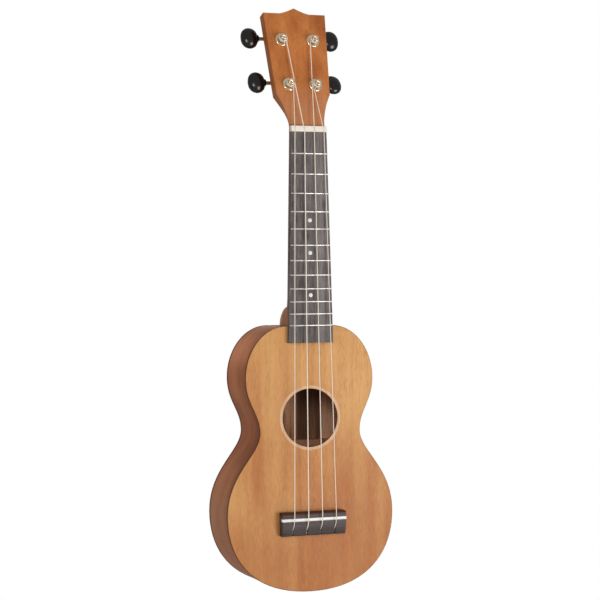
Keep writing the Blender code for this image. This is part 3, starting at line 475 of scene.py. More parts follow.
class Finish(Nodes):
    """A material around one Principled shader, with sideways, back and up places on the piece in metres."""

    def __init__(self, name, constants):
        self.material = bpy.data.materials.new(name)
        self.material.use_nodes = True
        super().__init__(self.material.node_tree)
        self.shader = self.tree.nodes["Principled BSDF"]
        for label, value in constants.items():
            self.feed(label, value)
        spot = self.node("ShaderNodeTexCoord", {}, {}, "Object")
        x = self.node("ShaderNodeSeparateXYZ", {}, {0: spot})
        self.places = (x, x.other(1), x.other(2))

    def feed(self, label, value):
        self.give(self.shader.inputs[label], value)
        return self.material

    def noise(self, spots, detail):
        spot = self.node("ShaderNodeCombineXYZ", {}, dict(enumerate(spots)))
        return self.node("ShaderNodeTexNoise", {}, {"Vector": spot, "Scale": 1.0, "Detail": detail})

    def cloud(self, scales, detail):
        """Noise with so many patches to a metre along each axis."""
        return self.noise([place * scale for place, scale in zip(self.places, scales)], detail)

    def mix(self, share, first, second):
        return self.node("ShaderNodeMix", {"data_type": "RGBA"}, {0: share, 6: first, 7: second}, 2)

    def scaled(self, colour, amount):
        return self.node("ShaderNodeVectorMath", {"operation": "SCALE"}, {0: colour, "Scale": amount})

    def bump(self, height, depth):
        return self.feed("Normal", self.node("ShaderNodeBump", {}, {"Distance": depth, "Height": height}))

    def painted(self, base, roughness, height, depth):
        """The material, with its colour, its roughness and a fine relief in place."""
        self.feed("Base Color", base)
        self.feed("Roughness", roughness)
        return self.bump(height, depth)


def colour(red, green, blue):
    return (red, green, blue, 1.0)


def grain(finish, across, start):
    """Bands, streaks, flecks, fibres and pores of timber; across is each axis's share across the grain."""
    def layer(scale, offset, detail, stretch=1.0):
        fine = [min(1.0, share / stretch) * scale for share in across]
        spots = [place * amount + (start + offset) for place, amount in zip(finish.places, fine)]
        return finish.noise(spots, detail)

    pores = layer(1100, 29, 1).between(0.60, 0.74)
    return layer(60, 0, 2), layer(260, 7, 3), layer(620, 19, 2, 0.35), layer(1500, 13, 2), pores


def timber(finish, pale, deep, across, start, balance, contrast, roughness, warmth=1.0):
    """Colour of timber between a pale and a deep one; balance is the deep one's share before the grain."""
    bands, streaks, flecks, fibres, pores = grain(finish, across, start)
    share = balance + 1.5 * (bands - 0.5) + 0.9 * (streaks - 0.5) + 1.4 * (flecks - 0.5)
    change = contrast * (0.9 * (streaks - 0.5) + 0.7 * (flecks - 0.5) + 0.5 * (fibres - 0.5) - 0.15 * pores)
    swings = (1 - 0.35 * warmth, 1, 1 + 0.2 * warmth)
    tones = finish.node("ShaderNodeCombineXYZ", {}, {k: 1 + swing * change for k, swing in enumerate(swings)})
    wood = finish.mix(share.between(-0.1, 1.1), pale, deep)
    finish.feed("Roughness", roughness + 0.25 * (streaks - 0.5) + 0.08 * pores)
    finish.bump(fibres * 0.5 - pores, 0.00001)
    return finish.node("ShaderNodeVectorMath", {"operation": "MULTIPLY"}, {0: wood, 1: tones})


def top_wood():
    """Straight-grained timber, golden above and redder below, darker on its rounded edge."""
    finish = Finish("top_wood", {"Specular IOR Level": 0.18})
    x, y, z = finish.places
    blotch = finish.cloud((26, 26, 14), 2)
    high = (z + 0.03 * finish.cloud((9, 9, 9), 1)).between(-0.36, -0.155)
    wood = timber(finish, pale=colour(0.680, 0.347, 0.124), deep=colour(0.478, 0.173, 0.055),
                  across=(1, 1, 0.09), start=3.0, contrast=0.95, roughness=0.46,
                  balance=0.74 - 0.72 * high + 1.2 * (blotch - 0.5) + x * 1.6 * (1 - high))
    edge = y.between(FACE_Y + 0.00002, FACE_Y + 0.0003) - y.between(RIM_FRONT - 0.0002, RIM_FRONT)
    return finish.feed("Base Color", finish.mix(edge, wood, finish.scaled(wood, 0.28)))


def side_wood():
    """Red-brown timber bent round the body, with painted shade in the waist and along its edges under the
    plates, a painted highlight at the shoulder and a painted pale sheen low down and at the shoulder.
    """
    finish = Finish("side_wood", {"Specular IOR Level": 0.08})
    y, z = finish.places[1:]
    wood = timber(finish, pale=colour(0.59, 0.224, 0.108), deep=colour(0.38, 0.128, 0.056),
                  across=(0.07, 1, 0.07), start=11.0, contrast=0.6, roughness=0.64,
                  balance=0.5 + 2.2 * (finish.cloud((22, 40, 22), 2) - 0.5))
    # Painted shade in the hollow of the waist.
    painted_waist_shade = 1 - abs(z - WAIST[1]).between(0.010, 0.050)
    # Painted highlight on the side near the shoulder, where it faces up into the light.
    shoulder = z.between(-0.215, -0.195) - z.between(-0.188, -0.176)
    wood = finish.scaled(wood, 1.14 - 0.22 * painted_waist_shade + 0.50 * shoulder)
    # Painted pale sheen low on the lower bout and at the shoulder.
    painted_low_sheen = 0.32 - 0.32 * z.between(-0.34, -0.29) + 0.15 * shoulder
    wood = finish.mix(painted_low_sheen, wood, colour(0.56, 0.34, 0.22))
    # Painted shade along the sides' front and back edges, under the plates.
    painted_plate_shade = 1 - y.between(RIM_FRONT + 0.0002, RIM_FRONT + 0.0024) + y.between(RIM_BACK - 0.0020, RIM_BACK)
    return finish.feed("Base Color", finish.mix(painted_plate_shade, wood, finish.scaled(wood, 0.42)))


def back_wood():
    """The sides' timber in two halves that mirror each other, bare and paler on the inside."""
    finish = Finish("back_wood", {"Specular IOR Level": 0.12})
    x, y, z = finish.places
    out = abs(x)

    def layer(scale, offset, detail):
        return finish.noise([spot * scale + offset for spot in (out, y, z * 0.055)], detail)

    bands = layer(75, 0, 2)
    streaks = layer(300, 4, 3)
    fibres = layer(1500, 9, 2)
    pores = layer(1100, 17, 1).between(0.60, 0.74)
    joint = 1 - out.between(0.0001, 0.0004)
    # Darker stripe on either side of the middle joint, a little off it.
    dark_stripe = out.between(0.003, 0.009) - out.between(0.027, 0.034)
    outside = y.between(RIM_BACK + 0.00004, RIM_BACK + 0.0002)
    edge = outside - y.between(BACK_Y - 0.0006, BACK_Y - 0.0001)
    balance = 0.15 + 0.7 * dark_stripe + 1.6 * (bands - 0.5) + 1.0 * (streaks - 0.5)
    # On the inside, paler further out from the joint.
    paler_outwards = finish.mix(out.between(0.015, 0.030), colour(0.64, 0.31, 0.16), colour(0.92, 0.54, 0.34))
    bare = finish.mix(balance.between(0.1, 0.9), paler_outwards, colour(0.17, 0.085, 0.047))
    wood = finish.mix(balance.between(-0.1, 1.1), colour(0.54, 0.200, 0.094), colour(0.34, 0.112, 0.050))
    tone = 1 + 0.7 * (streaks - 0.5) + 0.5 * (fibres - 0.5) - 0.25 * pores - 0.3 * joint - 0.6 * edge
    return finish.painted(finish.scaled(finish.mix(outside, bare, wood), tone),
                          0.44 + 0.25 * (streaks - 0.5) + 0.08 * pores, fibres * 0.5 - pores - joint, 0.00003)


def neck_wood():
    """Red timber, paler and less saturated at the heel and at the head's foot, with a painted shadow of the
    nut on the head's face.
    """
    finish = Finish("neck_wood", {"Specular IOR Level": 0.15})
    y, z = finish.places[1:]
    wood = timber(finish, pale=colour(0.60, 0.213, 0.060), deep=colour(0.39, 0.115, 0.029),
                  across=(1, 1, 0.05), start=21.0, contrast=1.2, roughness=0.46,
                  balance=0.5 + 1.5 * (finish.cloud((30, 30, 14), 2) - 0.5))
    # Paler and less saturated towards the heel.
    heel = 0.3 - 0.3 * z.between(-0.170, -0.105)
    front = 1 - (y - z * math.tan(HEAD_TILT)).between(FACE_Y, FACE_Y + 0.008)
    throat = front * (z.between(0.0, 0.004) - z.between(0.016, 0.056))
    wood = finish.mix(heel, wood, colour(0.58, 0.335, 0.205))
    wood = finish.mix(0.32 * throat, wood, colour(0.53, 0.29, 0.18))
    # Painted shadow of the nut in a narrow band on the head's face just above it.
    line = z.between(0.0, 0.001) - z.between(0.0062, 0.0076) - y.between(FACE_Y + 0.0012, FACE_Y + 0.0025)
    return finish.feed("Base Color", finish.mix(line.between(0.0, 2.0), wood, colour(0.10, 0.05, 0.03)))


def dark_wood(name, across, start, pale, deep):
    """Stained hardwood with grey streaks along the grain; on the bridge's front a dark red band of painted
    shade and painted reflection of the top.
    """
    finish = Finish(name, {"Specular IOR Level": 0.3})
    wood = timber(finish, pale, deep, across, start, contrast=2.0, roughness=0.50, warmth=0.15,
                  balance=0.5 + 0.6 * (finish.cloud((60, 60, 60), 2) - 0.5))
    # Painted shade on the bridge's front rounding, tinted by a painted reddish reflection of the top.
    front = finish.places[2] - BRIDGE_FRONT_Z
    red = front.between(-0.0036, -0.0012) - front.between(0.0, 0.001)
    return finish.feed("Base Color", finish.mix(red, wood, colour(0.060, 0.018, 0.009)))


def pale_wood():
    """Pale inlay ring with fine growth lines round the soundhole."""
    finish = Finish("pale_wood", {})
    streaks = finish.cloud((420, 420, 60), 3)
    specks = finish.cloud((1800, 1800, 400), 1)
    wood = finish.mix(streaks.between(0.3, 0.7), colour(0.72, 0.43, 0.225), colour(0.60, 0.32, 0.155))
    return finish.painted(wood, 0.45 + 0.2 * (specks - 0.5), specks, 0.00002)


def inner_wood():
    """Bare timber inside the body."""
    finish = Finish("inner_wood", {})
    wood = timber(finish, pale=colour(0.68, 0.34, 0.18), deep=colour(0.48, 0.22, 0.11),
                  across=(0.06, 1, 1), start=31.0, contrast=0.6, roughness=0.75,
                  balance=0.5 + 0.8 * (finish.cloud((40, 40, 40), 2) - 0.5))
    return finish.feed("Base Color", wood)


def bone(name, pale, deep):
    """Polished white bone with faint cloudy patches."""
    finish = Finish(name, {"IOR": 1.54, "Subsurface Weight": 0.05, "Subsurface Scale": 0.002})
    cloud = finish.cloud((160, 300, 300), 3)
    specks = finish.cloud((2600, 2600, 2600), 1)
    tint = finish.mix(cloud.between(0.3, 0.75), pale, deep)
    return finish.painted(tint, 0.28 + 0.25 * (specks - 0.4), specks, 0.00001)


def metal(name, clean, stain, roughness, scratch):
    """Plated metal with fine polishing marks and a little dulling."""
    finish = Finish(name, {"Metallic": 1.0})
    cloud = finish.cloud((220, 220, 220), 3)
    marks = finish.cloud(scratch, 2)
    tint = finish.mix(cloud.between(0.35, 0.8), clean, stain)
    return finish.painted(tint, roughness + 0.25 * (cloud - 0.5) + 0.2 * (marks - 0.5), marks, 0.000004)


def black_plastic():
    """Glossy moulded plastic with handling marks."""
    finish = Finish("black_plastic", {"Specular IOR Level": 0.52})
    cloud = finish.cloud((180, 180, 180), 3)
    specks = finish.cloud((2400, 2400, 2400), 2)
    tint = finish.mix(cloud, colour(0.004, 0.001, 0.001), colour(0.007, 0.003, 0.003))
    return finish.painted(tint, 0.20 + 0.12 * (cloud - 0.4) + 0.08 * (specks - 0.5), specks, 0.000004)


def nylon():
    """Milky string, a little uneven along its length."""
    finish = Finish("nylon", {"IOR": 1.53, "Subsurface Weight": 0.1, "Subsurface Scale": 0.001})
    cloud = finish.cloud((500, 500, 60), 2)
    tint = finish.mix(cloud, colour(0.98, 0.87, 0.76), colour(0.92, 0.79, 0.66))
    return finish.painted(tint, 0.28 + 0.2 * (cloud - 0.5), cloud, 0.00001)


TOP_WOOD = top_wood()
SIDE_WOOD = side_wood()
BACK_WOOD = back_wood()
NECK_WOOD = neck_wood()
FRETBOARD_WOOD = dark_wood("fretboard_wood", (1, 1, 0.04), 41.0,
                           colour(0.264, 0.226, 0.213), colour(0.024, 0.019, 0.017))
BRIDGE_WOOD = dark_wood("bridge_wood", (0.05, 1, 1), 51.0,
                        colour(0.104, 0.081, 0.079), colour(0.048, 0.034, 0.032))
PALE_WOOD = pale_wood()
INNER_WOOD = inner_wood()
NUT_BONE = bone("nut_bone", colour(0.99, 0.90, 0.80), colour(0.97, 0.85, 0.74))
SADDLE_BONE = bone("saddle_bone", colour(0.95, 0.92, 0.87), colour(0.89, 0.85, 0.79))
DOT_PEARL = bone("dot_pearl", colour(0.80, 0.78, 0.74), colour(0.60, 0.58, 0.55))
FRET_METAL = metal("fret_metal", colour(0.58, 0.56, 0.55), colour(0.44, 0.42, 0.41), 0.36, (60, 1500, 3000))
# Its warm tint is a painted reflection of the surrounding wood.
NICKEL = metal("nickel", colour(0.97, 0.82, 0.60), colour(0.74, 0.57, 0.38), 0.16, (900, 900, 900))
WORM_STEEL = metal("worm_steel", colour(0.44, 0.39, 0.34), colour(0.24, 0.20, 0.17), 0.42, (900, 900, 900))
BLACK_PLASTIC = black_plastic()
NYLON = nylon()


def fitted(piece, material, slot, body, *nodes):
    """Give a piece its finish and let it ride on its body in place of its plain solids."""
    if not piece.data.materials:
        piece.data.materials.append(material)
    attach(piece, body)
    if nodes:
        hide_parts(*nodes)
    return piece


# Body
def body_outline(name):
    """Flat curve of the body's outline, lying in its own XY plane."""
    joint = Vector((HEEL_FLAT, BODY_TOP_Z))
    upper = Vector(UPPER_BOUT)
    waist = Vector(WAIST)
    lower = Vector(LOWER_BOUT)
    tail = Vector((0.0, TAIL_Z))
    stops = (joint, upper, waist, lower, tail)
    fullness = (SHOULDER_FULLNESS, UPPER_CURVE_FULLNESS, LOWER_CURVE_FULLNESS, TAIL_FULLNESS)
    shoulder = Vector((SHOULDER_FULLNESS[0] * (upper.x - joint.x), 0.0))
    right = [(joint - Vector((HEEL_FLAT / 2, 0.0)), joint, joint + shoulder)]
    for k in (1, 2, 3):
        before = fullness[k - 1][1] * (stops[k - 1].y - stops[k].y)
        after = fullness[k][0] * (stops[k + 1].y - stops[k].y)
        right.append((stops[k] + Vector((0, before)), stops[k], stops[k] + Vector((0, after))))
    across = Vector((TAIL_FULLNESS[1] * lower.x, 0.0))
    points = right + [(tail + across, tail, tail - across)]
    points += [tuple(Vector((-p.x, p.y)) for p in reversed(spot)) for spot in reversed(right)]
    bpy.ops.curve.primitive_bezier_circle_add(radius=1.0)
    curve = named(name)
    curve.data.dimensions = "2D"
    curve.data.resolution_u = 20
    spline = curve.data.splines[0]
    spline.bezier_points.add(len(points) - len(spline.bezier_points))
    for slot, (before, point, after) in zip(spline.bezier_points, points):
        slot.handle_left_type = "FREE"
        slot.handle_right_type = "FREE"
        slot.handle_left = before.to_3d()
        slot.co = point.to_3d()
        slot.handle_right = after.to_3d()
    return curve


def stood_up(curve, y):
    """Flat curve made a mesh and turned to face the front at a depth."""
    take(curve)
    bpy.ops.object.convert(target="MESH")
    piece = placed(bpy.context.object, Matrix.Translation((0, y, 0)) @ UPRIGHT)
    edit(piece)
    return close(piece)


def plate(name, front, back):
    """Flat plate with the body's outline and a rounded edge, between two depths."""
    curve = body_outline(name)
    curve.data.fill_mode = "BOTH"
    curve.data.extrude = (back - front) / 2 - PLATE_EDGE
    curve.data.bevel_depth = PLATE_EDGE
    curve.data.bevel_resolution = 3
    curve.data.offset = -PLATE_EDGE
    return stood_up(curve, (front + back) / 2)


def bent_strip(name, outer, front, back, inset, thickness):
    """Strip bent round the whole outline, inset from the plates' edge, with bare timber inside."""
    curve = body_outline(name)
    curve.data.fill_mode = "NONE"
    curve.data.extrude = (back - front) / 2
    piece = stood_up(curve, (front + back) / 2)
    piece.data.materials.append(outer)
    piece.data.materials.append(INNER_WOOD)
    edit(piece)
    bpy.ops.transform.shrink_fatten(value=-inset)
    bpy.ops.object.mode_set(mode="OBJECT")
    return finish_with(piece, "SOLIDIFY", thickness=thickness, offset=-1.0, use_even_offset=True,
                       material_offset=1)


def half_strip(strip, name, side, least):
    """The part of a bent strip on one side of the centre line."""
    piece = copied(strip, name, Matrix.Identity(4))
    edit(piece)
    bpy.ops.mesh.bisect(plane_co=(side * least, 0, 0), plane_no=(side, 0, 0), use_fill=True,
                        clear_inner=True)
    return smooth(close(piece))


def build_body():
    at_hole = Matrix.Translation((0, 0, HOLE_Z))
    rebate = HOLE_RADIUS + ROSETTE_WIDTH
    floor = FACE_Y + ROSETTE_DEPTH
    board = plate("soundboard_plate", FACE_Y, RIM_FRONT)
    profile = ((0, 0), (rebate, 0), (rebate, floor), (HOLE_RADIUS, floor),
               (HOLE_RADIUS, 2 * RIM_FRONT), (0, 2 * RIM_FRONT))
    combined(board, "DIFFERENCE", placed(turned("opening", profile, 96), at_hole))
    fitted(smooth(board), TOP_WOOD, "top_wood", FIXED, "soundboard")
    soft = ROSETTE_EDGE
    profile = ((HOLE_RADIUS, floor), (HOLE_RADIUS, FACE_Y + soft), (HOLE_RADIUS + soft, FACE_Y),
               (rebate - soft / 2, FACE_Y), (rebate, FACE_Y + soft / 2), (rebate, floor))
    ring = placed(turned("rosette_ring", profile, 96), at_hole)
    fitted(smooth(ring, 30), PALE_WOOD, "pale_wood", FIXED, "rosette")
    back = plate("back_plate", RIM_BACK, BACK_Y)
    fitted(smooth(back), BACK_WOOD, "body_wood", FIXED, "back")
    walls = bent_strip("walls", SIDE_WOOD, RIM_FRONT, RIM_BACK, OVERHANG, SIDE_THICKNESS)
    inset = OVERHANG + SIDE_THICKNESS
    linings = []
    for name, front in (("front_lining", RIM_FRONT), ("back_lining", RIM_BACK - LINING_HEIGHT)):
        linings.append(bent_strip(name, INNER_WOOD, front, front + LINING_HEIGHT, inset, LINING_THICKNESS))
    for hand, side in (("bass", -1), ("treble", 1)):
        wall = half_strip(walls, "bent_side_" + hand, side, SIDE_JOINT)
        fitted(wall, SIDE_WOOD, "body_wood", FIXED, "side_" + hand)
        for strip in linings:
            lining = half_strip(strip, f"{strip.name}_{hand}", side, BLOCK_HALF)
            fitted(rounded(lining, LINING_EDGE, 2, 60), INNER_WOOD, "inner_wood", FIXED)
    discard(walls, *linings)


# Neck with its heel and headstock
def neck_ring(half, depth, roundness, matrix):
    """Flat front with softened corners and a superellipse round the back."""
    ring = []
    for share in shares(40):
        angle = math.pi * share
        c = math.cos(angle)
        x = math.copysign(half * abs(c) ** (2 / roundness), c)
        ring.append((x, max(NECK_CORNER, depth * math.sin(angle) ** (2 / roundness))))
    corner = half - NECK_CORNER
    ring += [(-x, NECK_CORNER + y) for x, y in arc((corner, 0.0), NECK_CORNER, -22.5, -90, 3)]
    ring += [(corner * (k / 4 - 1), 0.0) for k in range(1, 8)]
    ring += [(x, NECK_CORNER + y) for x, y in arc((corner, 0.0), NECK_CORNER, -90, -22.5, 3)]
    return [matrix @ Vector((x, y, 0.0)) for x, y in ring]


def neck_rings():
    """Rings from the heel's face up to the top of the headstock."""
    face = BODY_TOP_Z
    shoulder = face + HEEL_CAP_LENGTH
    throat = shoulder + HEEL_SHOULDER_LENGTH
    throat_depth = HEEL_DEPTH - HEEL_SHOULDER_DROP
    levels = [(face, HEEL_DEPTH - HEEL_EDGE, HEEL_ROUNDNESS), (face + HEEL_EDGE, HEEL_DEPTH, HEEL_ROUNDNESS),
              (shoulder, HEEL_DEPTH, HEEL_ROUNDNESS)]
    for share in shares(12)[1:]:
        angle = share * math.pi / 2
        levels.append((shoulder + HEEL_SHOULDER_LENGTH * math.sin(angle),
                       HEEL_DEPTH - HEEL_SHOULDER_DROP * (1 - math.cos(angle)),
                       HEEL_ROUNDNESS + share * (NECK_ROUNDNESS - HEEL_ROUNDNESS)))
    for share in shares(12)[1:]:
        angle = share * math.pi / 2
        levels.append((throat + HEEL_SWEEP * (1 - math.cos(angle)),
                       throat_depth - (throat_depth - NECK_DEPTH_AT_HEEL) * math.sin(angle), NECK_ROUNDNESS))
    start = levels[-1][0]
    for share in shares(14)[1:]:
        z = start + (NECK_END_Z - start) * share
        depth = NECK_DEPTH_AT_HEEL + (NECK_DEPTH_AT_NUT - NECK_DEPTH_AT_HEEL) * (1 - z / start)
        levels.append((z, depth, NECK_ROUNDNESS))
    rings = [neck_ring(fretboard_half(z), depth, roundness, Matrix.Translation((0, FACE_Y, z)))
             for z, depth, roundness in levels]
    nut_half = NUT_WIDTH / 2
    bend = HEAD @ Matrix.Rotation(HEAD_TILT / 2, 4, "X")
    rings.append(neck_ring(nut_half, NECK_DEPTH_AT_NUT, NECK_ROUNDNESS, bend))
    flare = HEAD_CORNER_WIDTH / 2 - nut_half
    for share in shares(20)[2:]:
        spread = share ** HEAD_FLARE_POWER
        depth = NECK_DEPTH_AT_NUT + share * (HEAD_THICKNESS - NECK_DEPTH_AT_NUT)
        squareness = NECK_ROUNDNESS * (HEAD_SQUARENESS / NECK_ROUNDNESS) ** spread
        place = HEAD @ Matrix.Translation((0, 0, share * HEAD_CORNER_AT))
        rings.append(neck_ring(nut_half + spread * flare, depth, squareness, place))
    top = HEAD_LENGTH + CREST_HEIGHT
    place = HEAD @ Matrix.Translation((0, 0, top))
    rings.append(neck_ring(head_half(top), HEAD_THICKNESS, HEAD_SQUARENESS, place))
    return rings


def build_neck():
    neck = lofted("neck_and_head", neck_rings())
    over = HEAD_TOP_WIDTH
    right = []
    for share in shares(12):
        right.append((CREST_HALF * share, HEAD_LENGTH + CREST_HEIGHT * (1 - share) ** CREST_POWER))
    right += [(over, HEAD_LENGTH), (over, HEAD_LENGTH + over)]
    outline = right + [(-x, up) for x, up in reversed(right[1:])]
    crest = slab("crest", [(x, -HEAD_THICKNESS, up) for x, up in outline], (0, 3 * HEAD_THICKNESS, 0))
    combined(neck, "DIFFERENCE", placed(crest, HEAD))
    for across, up in POSTS.values():
        front = HEAD @ Vector((across, -HEAD_THICKNESS, up))
        back = HEAD @ Vector((across, 2 * HEAD_THICKNESS, up))
        combined(neck, "DIFFERENCE", rod("hole", front, back, BUSHING_RADIUS, 32))
    fitted(smooth(neck, 40), NECK_WOOD, "neck_wood", FIXED, "neck")


# Fretboard, frets, dots and nut
def build_fretboard():
    top = fretboard_half(0.0)
    end = fretboard_half(FRETBOARD_END_Z)
    corners = ((-top, 0.0), (top, 0.0), (end, FRETBOARD_END_Z), (-end, FRETBOARD_END_Z))
    board = slab("fretboard_plank", [(x, 0.0, z) for x, z in corners], (0, FACE_Y, 0))
    fitted(smooth(rounded(board, FRETBOARD_EDGE)), FRETBOARD_WOOD, "dark_wood", FIXED, "fretboard")


def fret_shape(reach):
    """Fret that reaches so far to either side, with a round crown, a foot and ends filed back."""
    angles = [math.pi * share for share in shares(10)]
    crown = [(FRET_HALF * math.cos(a), -FRET_HEIGHT * math.sin(a) ** FRET_FULLNESS) for a in angles]
    outline = crown + [(-FRET_HALF, FRET_FOOT), (FRET_HALF, FRET_FOOT)]
    wire = slab("fret", [(-reach, y, up) for up, y in outline], (2 * reach, 0, 0))
    for vertex in wire.data.vertices:
        vertex.co.x -= math.copysign(FRET_END_SLOPE * max(0.0, -vertex.co.y), vertex.co.x)
    return smooth(rounded(wire, FRET_EDGE, 2, 50), 40)


def build_frets():
    shortest = fretboard_half(0.0) - FRET_END_INSET
    fret = fret_shape(shortest)
    for number in range(1, FRET_COUNT + 1):
        z = fret_z(number)
        wire = copied(fret, f"fret_wire_{number:02d}", Matrix.Translation((0, 0, z)))
        longer = fretboard_half(z) - FRET_END_INSET - shortest
        for vertex in wire.data.vertices:
            vertex.co.x += math.copysign(longer, vertex.co.x)
        fitted(wire, FRET_METAL, "fret_metal", FIXED, f"fret_{number:02d}")
    discard(fret)


def build_dots():
    profile = ((0, -DOT_CROWN), (0.7 * DOT_RADIUS, -0.9 * DOT_CROWN), (DOT_RADIUS, -0.3 * DOT_CROWN),
               (DOT_RADIUS, DOT_DEPTH), (0, DOT_DEPTH))
    dot = smooth(turned("dot", profile, 32))
    for fret in DOT_FRETS:
        z = (fret_z(fret - 1) + fret_z(fret)) / 2
        disc = copied(dot, f"pearl_dot_{fret:02d}", Matrix.Translation((0, 0, z)))
        fitted(disc, DOT_PEARL, "bone", FIXED, f"position_dot_{fret:02d}")
    discard(dot)


def build_nut():
    half = NUT_WIDTH / 2
    outline = ((FACE_Y, 0.0), (-NUT_CROWN, 0.0), (NUT_BACK_DROP - NUT_CROWN, NUT_THICKNESS),
               (FACE_Y, NUT_THICKNESS))
    nut = slab("bone_nut", [(-half, y, z) for y, z in outline], (NUT_WIDTH, 0, 0))
    rounded(nut, BONE_EDGE)
    for name, diameter in STRING_DIAMETERS.items():
        radius = diameter / 2 + NUT_GROOVE_GAP
        for lift in (0.0, radius):
            near = string_at_nut(name, -2 * NUT_THICKNESS) - Vector((0, lift, 0))
            far = string_at_nut(name, 4 * NUT_THICKNESS) - Vector((0, lift, 0))
            combined(nut, "DIFFERENCE", rod("groove", near, far, radius, 20))
    fitted(smooth(nut), NUT_BONE, "bone", FIXED, "nut")


# Bridge and saddle
def build_bridge():
    r = BRIDGE_ROUND
    slot = SADDLE_HALF + SADDLE_SLOT_GAP
    outline = [(BRIDGE_FRONT_Z, FACE_Y)]
    outline += arc((BRIDGE_FRONT_Z - r, BRIDGE_TOP + r), r, 0, -90, 6)
    outline += [(SADDLE_Z + slot, BRIDGE_TOP), (SADDLE_Z + slot, SADDLE_FLOOR)]
    outline += [(SADDLE_Z - slot, SADDLE_FLOOR), (SADDLE_Z - slot, BRIDGE_TOP), (BRIDGE_SLOPE_Z, BRIDGE_TOP)]
    outline += arc((BRIDGE_REAR_Z + r, BRIDGE_REAR_TOP + r), r, -95, -180, 6)
    outline += [(BRIDGE_REAR_Z, FACE_Y)]
    bridge = slab("bridge_block", [(-BRIDGE_HALF, y, z) for z, y in outline], (2 * BRIDGE_HALF, 0, 0))
    near = 0.00001
    edit(bridge)
    pick_edges(lambda a, b: abs(abs(a.x) - BRIDGE_HALF) < near and abs(a.x - b.x) < near
               and min(a.y, b.y) < FACE_Y - near)
    bpy.ops.mesh.bevel(offset=BRIDGE_EDGE, segments=3, affect="EDGES", clamp_overlap=True)
    close(bridge)
    behind = BRIDGE_REAR_Z - SAW_OVERSHOOT
    for name, diameter in STRING_DIAMETERS.items():
        x = saddle_x(name)
        wide = diameter / 2 + STRING_SLOT_GAP
        saw = block("saw", (x - wide, BRIDGE_TOP - SAW_OVERSHOOT, behind),
                    (x + wide, KNOT_Y + wide, BRIDGE_SLOPE_Z + STRING_SLOT_GAP))
        combined(bridge, "DIFFERENCE", saw)
        drill = rod("drill", (x, KNOT_Y, KNOT_Z + KNOT_POCKET), (x, KNOT_Y, behind), KNOT_POCKET, 28)
        combined(bridge, "DIFFERENCE", drill)
    fitted(smooth(bridge), BRIDGE_WOOD, "dark_wood", FIXED, "bridge")


def build_saddle():
    half = SADDLE_HALF
    start = -SADDLE_LENGTH / 2
    outline = [(-half, SADDLE_FLOOR), (-half, SADDLE_TOP + half)]
    outline += arc((0.0, SADDLE_TOP + half), half, -180, -360, 10)[1:]
    outline += [(half, SADDLE_FLOOR)]
    saddle = slab("bone_saddle", [(start, y, SADDLE_Z + z) for z, y in outline], (SADDLE_LENGTH, 0, 0))
    fitted(smooth(rounded(saddle, BONE_EDGE, 3, 60)), SADDLE_BONE, "bone", FIXED, "saddle")


# Strings
def string_offset(name):
    return list(STRING_DIAMETERS).index(name) - 1.5


def saddle_x(name):
    return string_offset(name) * SADDLE_STRING_SPACING


def winding_radius(name):
    return POST_WAIST + WINDING_GAP + STRING_DIAMETERS[name] / 2


def string_at_nut(name, z):
    """Centre of a string on its way from the nut's edge to its post."""
    across, up = POSTS[name]
    start = Vector((string_offset(name) * NUT_STRING_SPACING, NUT_STRING_Y, 0.0))
    end = HEAD @ Vector((across - POST_SIDES[name] * winding_radius(name), -WINDING_START, up))
    return start + (end - start) * (z / end.z)


def slot_edge(name):
    """Centre of a string where it bends over the front edge of its slot."""
    y = BRIDGE_TOP - STRING_DIAMETERS[name] / 2 - STRING_EDGE_LIFT
    return Vector((saddle_x(name), y, BRIDGE_SLOPE_Z + STRING_EDGE_FORWARD))


def knot_points(name):
    """Barrel knot: two turns round the string's own line, then back through their middle."""
    diameter = STRING_DIAMETERS[name]
    knot = Vector((saddle_x(name), KNOT_Y, KNOT_Z))
    pull = (slot_edge(name) - knot).normalized()
    side = Vector((1, 0, 0))
    lift = pull.cross(side)
    points = []

    def spot(angle, distance, along):
        out = side * math.cos(angle) + lift * math.sin(angle)
        return knot + diameter * (distance * out + along * pull)

    for share in shares(48):
        points.append(spot(FULL_TURN * KNOT_TURNS * share, KNOT_RADIUS, 1.2 - 2.2 * share))
    for share in shares(8)[1:]:
        distance = KNOT_RADIUS * (1 - share) ** 1.5
        points.append(spot(FULL_TURN * 0.35 * share, distance, -1.0 - 0.7 * math.sin(math.pi * share)))
    return points


def winding_points(name):
    """Turns round the post, then the bend into its cross hole and the tail behind it."""
    across, up = POSTS[name]
    side = POST_SIDES[name]
    radius = winding_radius(name)
    start = 0.0 if side < 0 else math.pi
    hole = start - side * WINDING_TURNS * FULL_TURN

    def spot(distance, angle, height):
        return HEAD @ Vector((across + distance * math.cos(angle), -height, up + distance * math.sin(angle)))

    sweep = abs(hole - start) - STRING_BEND
    points = []
    for share in shares(108):
        height = WINDING_START + (POST_HOLE_HEIGHT - WINDING_START) * share
        points.append(spot(radius, start - side * sweep * share, height))
    for share in shares(6)[1:]:
        back = (1 - share) ** 2 * STRING_BEND
        points.append(spot(radius - STRING_BEND_DEPTH * share ** 2, hole + side * back, POST_HOLE_HEIGHT))
    far = POST_WAIST + STRING_TAIL
    return points + [spot(0.0, hole, POST_HOLE_HEIGHT), spot(-far, hole, POST_HOLE_HEIGHT)]


